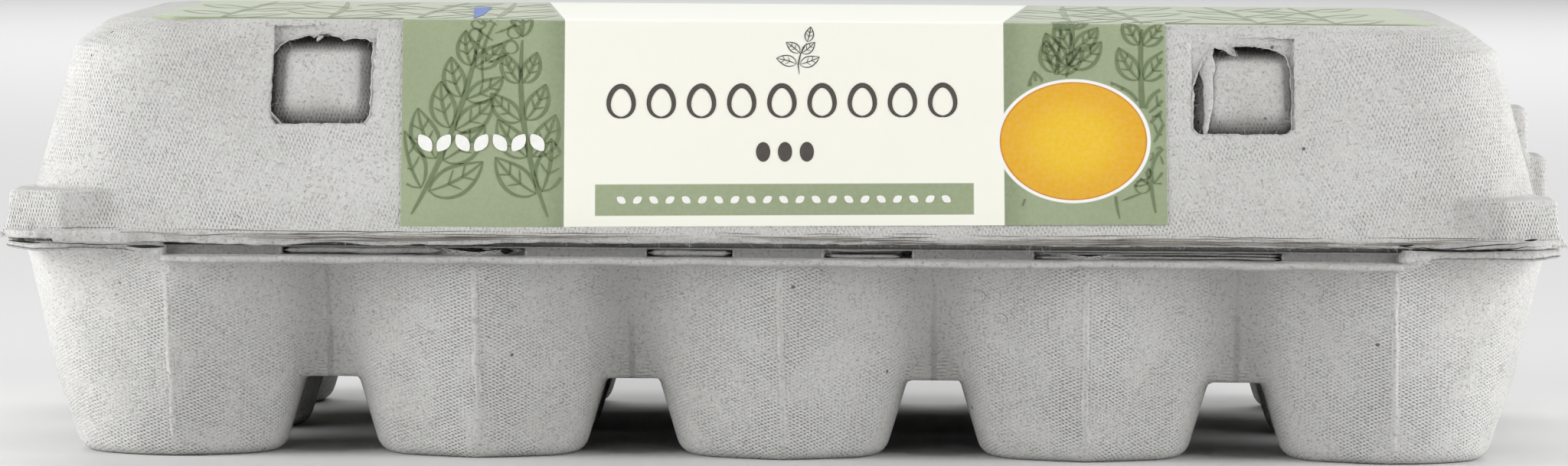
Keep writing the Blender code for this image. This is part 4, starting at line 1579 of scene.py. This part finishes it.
def on_label(across, up, stand):
    """A place on the lid for a point of the page, stand above the pulp, rounded over the fold."""
    x = across - TURN * up
    y, z = 0.0, 0.0
    for nudge, share in ((-0.0007, 0.25), (0.0, 0.5), (0.0007, 0.25)):
        climb = up + TURN * across + nudge
        front_z = PAGE_FOOT + np.minimum(climb, FOLD_AT) / RISE
        front_y = face_inset(front_z) - HALF_Y - stand * RISE
        top_y = TOP_FRONT + np.maximum(climb - FOLD_AT, 0.0)
        y = y + share * np.where(climb <= FOLD_AT, front_y, top_y)
        below = np.minimum(front_z, lid_top(TOP_FRONT) + stand)
        z = z + share * np.where(climb <= FOLD_AT, below, lid_top(top_y) + stand)
    return np.stack([x, y, z], axis=-1)


print("label's fold at", round(FOLD_AT * 1000, 1), "mm up the page")

# %% The label's outline
PAGE_END = FOLD_AT + 0.1175
WING_START = FOLD_AT + 0.0035
PANEL = (-0.0610, 0.0616)
WINGS = (-0.1022, 0.1058)
CORNER = 0.0060


def page_half(up):
    """Where the page ends, left and right, at a height up the page."""
    if up < WING_START:
        return PANEL
    past = max(WING_START + CORNER - up, up - PAGE_END + CORNER, 0.0)
    drawn = CORNER - math.sqrt(max(CORNER ** 2 - past ** 2, 0.0))
    return WINGS[0] + drawn, WINGS[1] - drawn


print("label, mm:", round((WINGS[1] - WINGS[0]) * 1000), "by", round(PAGE_END * 1000))


# %% The sheet
SHEET_BACK = -0.00030
SHEET_FRONT = 0.00022
PANEL_STEPS = 80
WING_STEPS = 21


def make_sheet(material):
    """A grid of points up the page, less the corners beside the panel, laid on the lid."""
    bm = bmesh.new()
    page = bm.verts.layers.float_vector.new("page")
    ups = list(np.linspace(0.0, FOLD_AT - 0.003, 30))
    ups += list(np.linspace(FOLD_AT - 0.0025, FOLD_AT + 0.0030, 12))
    ups += [WING_START + CORNER * (1 - math.cos(math.radians(a))) for a in (0, 15, 30, 45, 60, 75, 90)]
    ups += list(np.linspace(WING_START + CORNER, PAGE_END - CORNER, 40))[1:]
    ups += [PAGE_END - CORNER * (1 - math.sin(math.radians(a))) for a in (15, 30, 45, 60, 75, 90)]
    width = 2 * WING_STEPS + PANEL_STEPS
    bmesh.ops.create_grid(bm, x_segments=width, y_segments=len(ups) - 1, size=1.0)
    corners = bm.verts[:]
    spare = []
    for row, up in enumerate(ups):
        left, right = page_half(up)
        line = list(np.linspace(left, PANEL[0], WING_STEPS + 1)[:-1])
        line += list(np.linspace(*PANEL, PANEL_STEPS + 1))
        line += list(np.linspace(PANEL[1], right, WING_STEPS + 1)[1:])
        for k, across in enumerate(line):
            corner = corners[row * (width + 1) + k]
            corner.co = on_label(across, up, SHEET_BACK)
            corner[page] = (across, up, 0.0)
            if up < WING_START and not 0 <= k - WING_STEPS <= PANEL_STEPS:
                spare.append(corner)
    bmesh.ops.delete(bm, geom=spare, context="VERTS")
    made = bmesh.ops.extrude_face_region(bm, geom=bm.faces[:])["geom"]
    for corner in made:
        if isinstance(corner, bmesh.types.BMVert):
            across, up, _ = corner[page]
            corner.co = on_label(across, up, SHEET_FRONT)
    sheet = new_piece(bm, "label_sheet", material)
    sheet.data.set_sharp_from_angle(angle=0.7)
    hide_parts("label")
    return sheet


print("sheet's thickness, mm:", round((SHEET_FRONT - SHEET_BACK) * 1000, 2))

# %% [markdown]
# ### Printed paper
#
# The label's large fields are plain shapes: green, a cream panel that widens past the fold, a green
# bar and a yellow disc. Each could be a piece of its own, but then their edges would stand proud.
# They are worked out from the page's coordinates instead, which stay sharp however near one looks.

# %% The fields of the print
CREAM = (-0.0349, 0.0356)
CREAM_MIDDLE = (CREAM[0] + CREAM[1]) / 2
CREAM_HALF = (CREAM[1] - CREAM[0]) / 2
CREAM_SPREAD = 0.057
BAR = (-0.0299, 0.0307, 0.0018, 0.0070)
SEAL = (0.0467, 0.0139, 0.0124, 0.0103)
print("cream panel, mm wide:", round(2000 * CREAM_HALF, 1))


# %% Printed paper
def make_paper():
    """Printed paper: green fields, a cream panel, a green bar and a yellow disc with a white ring."""
    made, shader, place = new_material("printed_paper", 0.42)
    page = place.node("ShaderNodeAttribute", {"attribute_name": "page"}, {}, 1)
    across, up = page.part(0), page.part(1)
    sharp = 0.00010
    fluff = place.noise(1400.0, 3.0, 0.6)
    tone = page.noise(40.0, 2.0)

    green = tone.ramp(0.3, 0.7).mix((0.300, 0.355, 0.215, 1.0), (0.330, 0.385, 0.240, 1.0))
    past_fold = (up - FOLD_AT).most(0.0)
    beside = abs(across - CREAM_MIDDLE) - CREAM_HALF - past_fold * CREAM_SPREAD
    shade = (1.0 - beside.ramp(0.0, 0.0048)) * 0.46
    colour = shade.mix(green, (0.165, 0.200, 0.110, 1.0))
    inside = 1.0 - beside.ramp(-sharp, sharp)
    colour = inside.mix(colour, (0.900, 0.895, 0.805, 1.0))

    bar_x = abs(across - (BAR[0] + BAR[1]) / 2) - (BAR[1] - BAR[0]) / 2
    bar_z = abs(up - (BAR[2] + BAR[3]) / 2) - (BAR[3] - BAR[2]) / 2
    bar = 1.0 - bar_x.most(bar_z).ramp(-sharp, sharp)
    colour = bar.mix(colour, green)

    far_x = (across - SEAL[0]) / SEAL[2]
    far_z = (up - SEAL[1]) / SEAL[3]
    far = (far_x * far_x + far_z * far_z) ** 0.5
    ring = 1.0 - far.ramp(0.990, 1.008)
    disc = 1.0 - far.ramp(0.946, 0.958)
    warm = far.ramp(0.25, 0.90).mix((0.830, 0.520, 0.022, 1.0), (0.760, 0.400, 0.018, 1.0))
    warm = far.ramp(0.925, 0.940).mix(warm, (0.620, 0.230, 0.014, 1.0))
    # Painted sheen: past the fold the page turns paler, as a glossy top looks when seen at a low angle.
    colour = (past_fold.ramp(0.0005, 0.0140) * 0.24).mix(colour, (0.80, 0.83, 0.74, 1.0))
    colour = ring.mix(colour, (0.890, 0.890, 0.860, 1.0))
    colour = disc.mix(colour, warm)
    colour = (fluff.ramp(0.2, 0.8) * 0.06).mix(colour, (0.95, 0.95, 0.93, 1.0))
    plug(colour, shader, "Base Color")
    height = fluff * 0.3 + page.noise(160.0, 2.0) * 0.7
    bump = place.node("ShaderNodeBump", {}, {"Strength": 0.2, "Distance": 0.0002, "Height": height})
    plug(bump, shader, "Normal")
    return made


sheet = make_sheet(make_paper())
print("sheet:", len(sheet.data.polygons), "faces")

# %% [markdown]
# ### Print on the label
#
# The drawn print is a generic pattern of leafy sprigs in darker green, with plain ovals and leaves
# where the real label has words. Fine curved lines are hard to put in sums, so each line is drawn
# as a pen would draw it: a strip of faces along a path on the page, in a layer just above the paper.

# %% Drawing on the page
INK = 0.00026
INK_ABOVE = 0.00036


def in_fields(across, up):
    """True on the green fields, away from the cream panel and the disc."""
    half = CREAM_HALF + max(up - FOLD_AT, 0.0) * CREAM_SPREAD
    clear = abs(across - CREAM_MIDDLE) - half > 0.0005
    off_seal = math.hypot((across - SEAL[0]) / SEAL[2], (up - SEAL[1]) / SEAL[3]) > 1.03
    left, right = page_half(max(up, 0.0))
    return clear and off_seal and left + 0.0004 < across < right - 0.0004 and 0.0003 < up < PAGE_END - 0.0004


def anywhere(across, up):
    """For strokes that nothing cuts off."""
    return True


def stroke(bm, line, width, allowed=in_fields, stand=INK):
    """A pen stroke along a line on the page, thinner at its ends."""
    line = np.asarray(line, float)
    tangent = np.gradient(line, axis=0)
    tangent = tangent / (np.hypot(*tangent.T)[:, None] + 1e-12)
    side = np.stack([-tangent[:, 1], tangent[:, 0]], axis=1)
    swell = np.sin(np.linspace(0.12, math.pi - 0.12, len(line))) ** 0.5 * width / 2
    pairs = []
    for spot, way, half in zip(line, side, swell):
        if allowed(*spot):
            ends = [on_label(*(spot + way * half * sign), stand) for sign in (-1, 1)]
            pairs.append([bm.verts.new(end) for end in ends])
        else:
            pairs.append(None)
    for a, b in zip(pairs, pairs[1:]):
        if a and b:
            bm.faces.new((a[0], b[0], b[1], a[1]))


def blot(bm, middle, half_x, half_z, turn=0.0, point=0.0, steps=20, stand=INK):
    """A filled oval on the page, or a leaf where point is 1."""
    ring = []
    for k in range(steps):
        angle = 2 * math.pi * k / steps
        c, s = math.cos(angle), math.sin(angle)
        s = s * (1.0 - point * 0.45 * abs(c) ** 2)
        px, pz = half_x * c, half_z * s
        across = middle[0] + px * math.cos(turn) - pz * math.sin(turn)
        up = middle[1] + px * math.sin(turn) + pz * math.cos(turn)
        ring.append(bm.verts.new(on_label(across, up, stand)))
    bm.faces.new(ring)


def oval_line(middle, half_x, half_z, steps=28):
    """An egg's outline on the page, closed, a little narrower above."""
    angles = np.linspace(-math.pi / 2, 1.5 * math.pi, steps)
    narrow = 1.0 - 0.12 * np.sin(angles)
    across = middle[0] + half_x * narrow * np.cos(angles)
    return np.stack([across, middle[1] + half_z * np.sin(angles)], axis=1)


print("pens ready")


# %% Leaves, sprigs and berries
def leaf(bm, base, angle, length, width, bend, pen, allowed=in_fields):
    """A pointed leaf: two edges, a midrib and side veins, on a curved axis."""
    t = np.linspace(0.0, 1.0, 13)
    turn = angle + bend * t
    step = length / 12
    axis = np.array(base) + np.cumsum(np.stack([np.cos(turn), np.sin(turn)], axis=1) * step, axis=0)
    side = np.stack([-np.sin(turn), np.cos(turn)], axis=1)
    belly = (np.sin(math.pi * t ** 0.8) ** 0.9 * width)[:, None]
    for sign in (-1, 1):
        stroke(bm, axis + side * belly * sign, pen, allowed)
        for k in (4, 7):
            tip = axis[min(k + 2, 12)] + side[k] * belly[k] * sign * 0.78
            stroke(bm, np.linspace(axis[k], tip, 4), pen * 0.6, allowed)
    stroke(bm, axis, pen * 0.9, allowed)
    return axis[-1]


def sprig(bm, base, angle, length, pairs, size, bend, seed):
    """A curved stem with pairs of leaves and one at its end."""
    draws = np.random.default_rng(seed)
    t = np.linspace(0.0, 1.0, 25)
    turn = angle + bend * t
    stem = np.array(base) + np.cumsum(np.stack([np.cos(turn), np.sin(turn)], axis=1) * length / 24, axis=0)
    stroke(bm, stem, 0.00085)
    for k in range(pairs):
        at = int(3 + 20 * k / pairs)
        share = 1.0 - 0.5 * k / pairs
        for sign in (-1, 1):
            fork = sign * (0.85 + 0.2 * draws.uniform(-1, 1))
            leaf(bm, stem[at], turn[at] + fork, size * share, size * share * 0.24, -sign * 0.5, 0.00058)
    leaf(bm, stem[-1], turn[-1], size * 0.7, size * 0.16, 0.2, 0.00058)


def berries(bm, base, angle, length, count, seed):
    """A stalk with small round berries on short side stalks."""
    draws = np.random.default_rng(seed)
    way = np.array([math.cos(angle), math.sin(angle)])
    across = np.array([-way[1], way[0]])
    stalk = []
    for s in np.linspace(0, 1, 12):
        stalk.append(np.array(base) + way * length * s + across * 0.0012 * math.sin(3 * s))
    stroke(bm, stalk, 0.0005)
    for k in range(count):
        foot = np.array(base) + way * length * (0.3 + 0.7 * k / count)
        tip = foot + across * (0.0030 if k % 2 else -0.0030) + way * (0.0018 + 0.0006 * draws.uniform(-1, 1))
        stroke(bm, np.linspace(foot, tip, 4), 0.0004)
        stroke(bm, oval_line(tip + way * 0.0011, 0.0011, 0.0011, 14), 0.00040)


print("leaves ready")


# %% Ink
def flat_ink(name, colour):
    """Printed ink, a little uneven."""
    made, shader, place = new_material(name, 0.5)
    worn = place.noise(900.0, 2.0).ramp(0.3, 0.8) * 0.25
    lighter = [min(1.0, value * 1.5 + 0.02) for value in colour]
    plug(worn.mix((*colour, 1.0), (*lighter, 1.0)), shader, "Base Color")
    return made


def inked(bm, name, colour):
    """The piece of one ink's drawings."""
    piece = new_piece(bm, name, flat_ink(name + "_ink", colour), smooth=False)
    return piece


print("ink ready")

# %% Sprigs on the front
green_print = bmesh.new()
sprig(green_print, (-0.0600, 0.0010), 1.05, 0.0330, 5, 0.0100, 0.35, 1)
sprig(green_print, (-0.0370, 0.0005), 1.95, 0.0300, 4, 0.0090, -0.45, 2)
berries(green_print, (-0.0480, 0.0240), 1.35, 0.0110, 6, 4)
sprig(green_print, (0.0380, 0.0020), 1.20, 0.0300, 4, 0.0090, 0.30, 5)
sprig(green_print, (0.0600, 0.0005), 1.75, 0.0350, 5, 0.0090, -0.25, 6)
sprig(green_print, (0.0455, 0.0240), 1.30, 0.0120, 3, 0.0065, 0.40, 7)
berries(green_print, (0.0540, 0.0010), 1.45, 0.0100, 6, 8)
front_print = inked(green_print, "print_green", (0.165, 0.208, 0.110))
print("green print:", len(front_print.data.polygons), "faces")

# %% Stems and leaves on the top
top_print = bmesh.new()
draws = np.random.default_rng(40)
for place in (-0.092, -0.076, -0.060, -0.046, 0.046, 0.060, 0.076, 0.092):
    base = np.array([place + draws.uniform(-0.003, 0.003), FOLD_AT + 0.006])
    for k in range(5):
        way = -1 if k % 2 else 1
        share = np.linspace(0.0, 1.0, 40)
        for side in (-1, 1):
            belly = np.sin(math.pi * share) * 0.0085 * side
            up = base[1] + 0.020 * k + 0.020 * share ** 1.5 + belly
            stroke(top_print, np.stack([base[0] + way * 0.0095 * share, up], axis=1), 0.00105)
    lean = draws.uniform(-0.004, 0.004)
    share = np.linspace(0.0, 1.0, 60)
    stroke(top_print, np.stack([base[0] + lean * share ** 2, base[1] + 0.105 * share], axis=1), 0.00120)
upper_print = inked(top_print, "print_top", (0.225, 0.270, 0.165))
print("print on the top:", len(upper_print.data.polygons), "faces")

# %% Ovals and a small sprig
dark_print = bmesh.new()
for k in range(9):
    stroke(dark_print, oval_line((-0.0258 + 0.00645 * k, 0.0207), 0.00200, 0.00262), 0.00085, anywhere)
for k in range(3):
    blot(dark_print, (-0.0030 + 0.0035 * k, 0.0123), 0.00115, 0.00165)
stem = [(0.0028, 0.0252), (0.0026, 0.0268), (0.0030, 0.0286), (0.0040, 0.0304)]
stroke(dark_print, stem, 0.00022, anywhere)
LEAVES = [(1, 0.2, 0.0034), (1, 2.7, 0.0034), (2, 0.55, 0.0028), (2, 2.3, 0.0028), (3, 1.2, 0.0026)]
for spot, angle, size in LEAVES:
    leaf(dark_print, stem[spot], angle, size, size * 0.26, 0.3, 0.00018, anywhere)
inked(dark_print, "print_dark", (0.085, 0.075, 0.068))
print("ovals: 12, leaves:", len(LEAVES))

# %% White leaves and the blue patch
pale_print = bmesh.new()
for k in range(21):
    middle = (BAR[0] + 0.0042 + 0.0026 * k, (BAR[2] + BAR[3]) / 2)
    blot(pale_print, middle, 0.00085, 0.00060, 0.6 if k % 2 else -0.6, 1.0, 12)
for k in range(7):
    tilt = 0.95 if k % 2 else -0.95
    blot(pale_print, (-0.0572 + 0.0030 * k, 0.0140), 0.00170, 0.00105, tilt, 1.0, 20, INK_ABOVE)
inked(pale_print, "print_pale", (0.860, 0.860, 0.820))

blue_print = bmesh.new()
BLUE = [(-0.0530, 0.076), (-0.0497, 0.002), (-0.0492, 0.026), (-0.0500, 0.0766)]
patch = [blue_print.verts.new(on_label(across, FOLD_AT + up, 0.00030)) for across, up in BLUE]
blue_print.faces.new(patch)
inked(blue_print, "print_blue", (0.040, 0.120, 0.420))
print("white leaves: 28, corners of the blue patch:", len(BLUE))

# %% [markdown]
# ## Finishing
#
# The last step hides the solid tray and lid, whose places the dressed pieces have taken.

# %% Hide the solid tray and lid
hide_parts("tray")
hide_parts("lid")
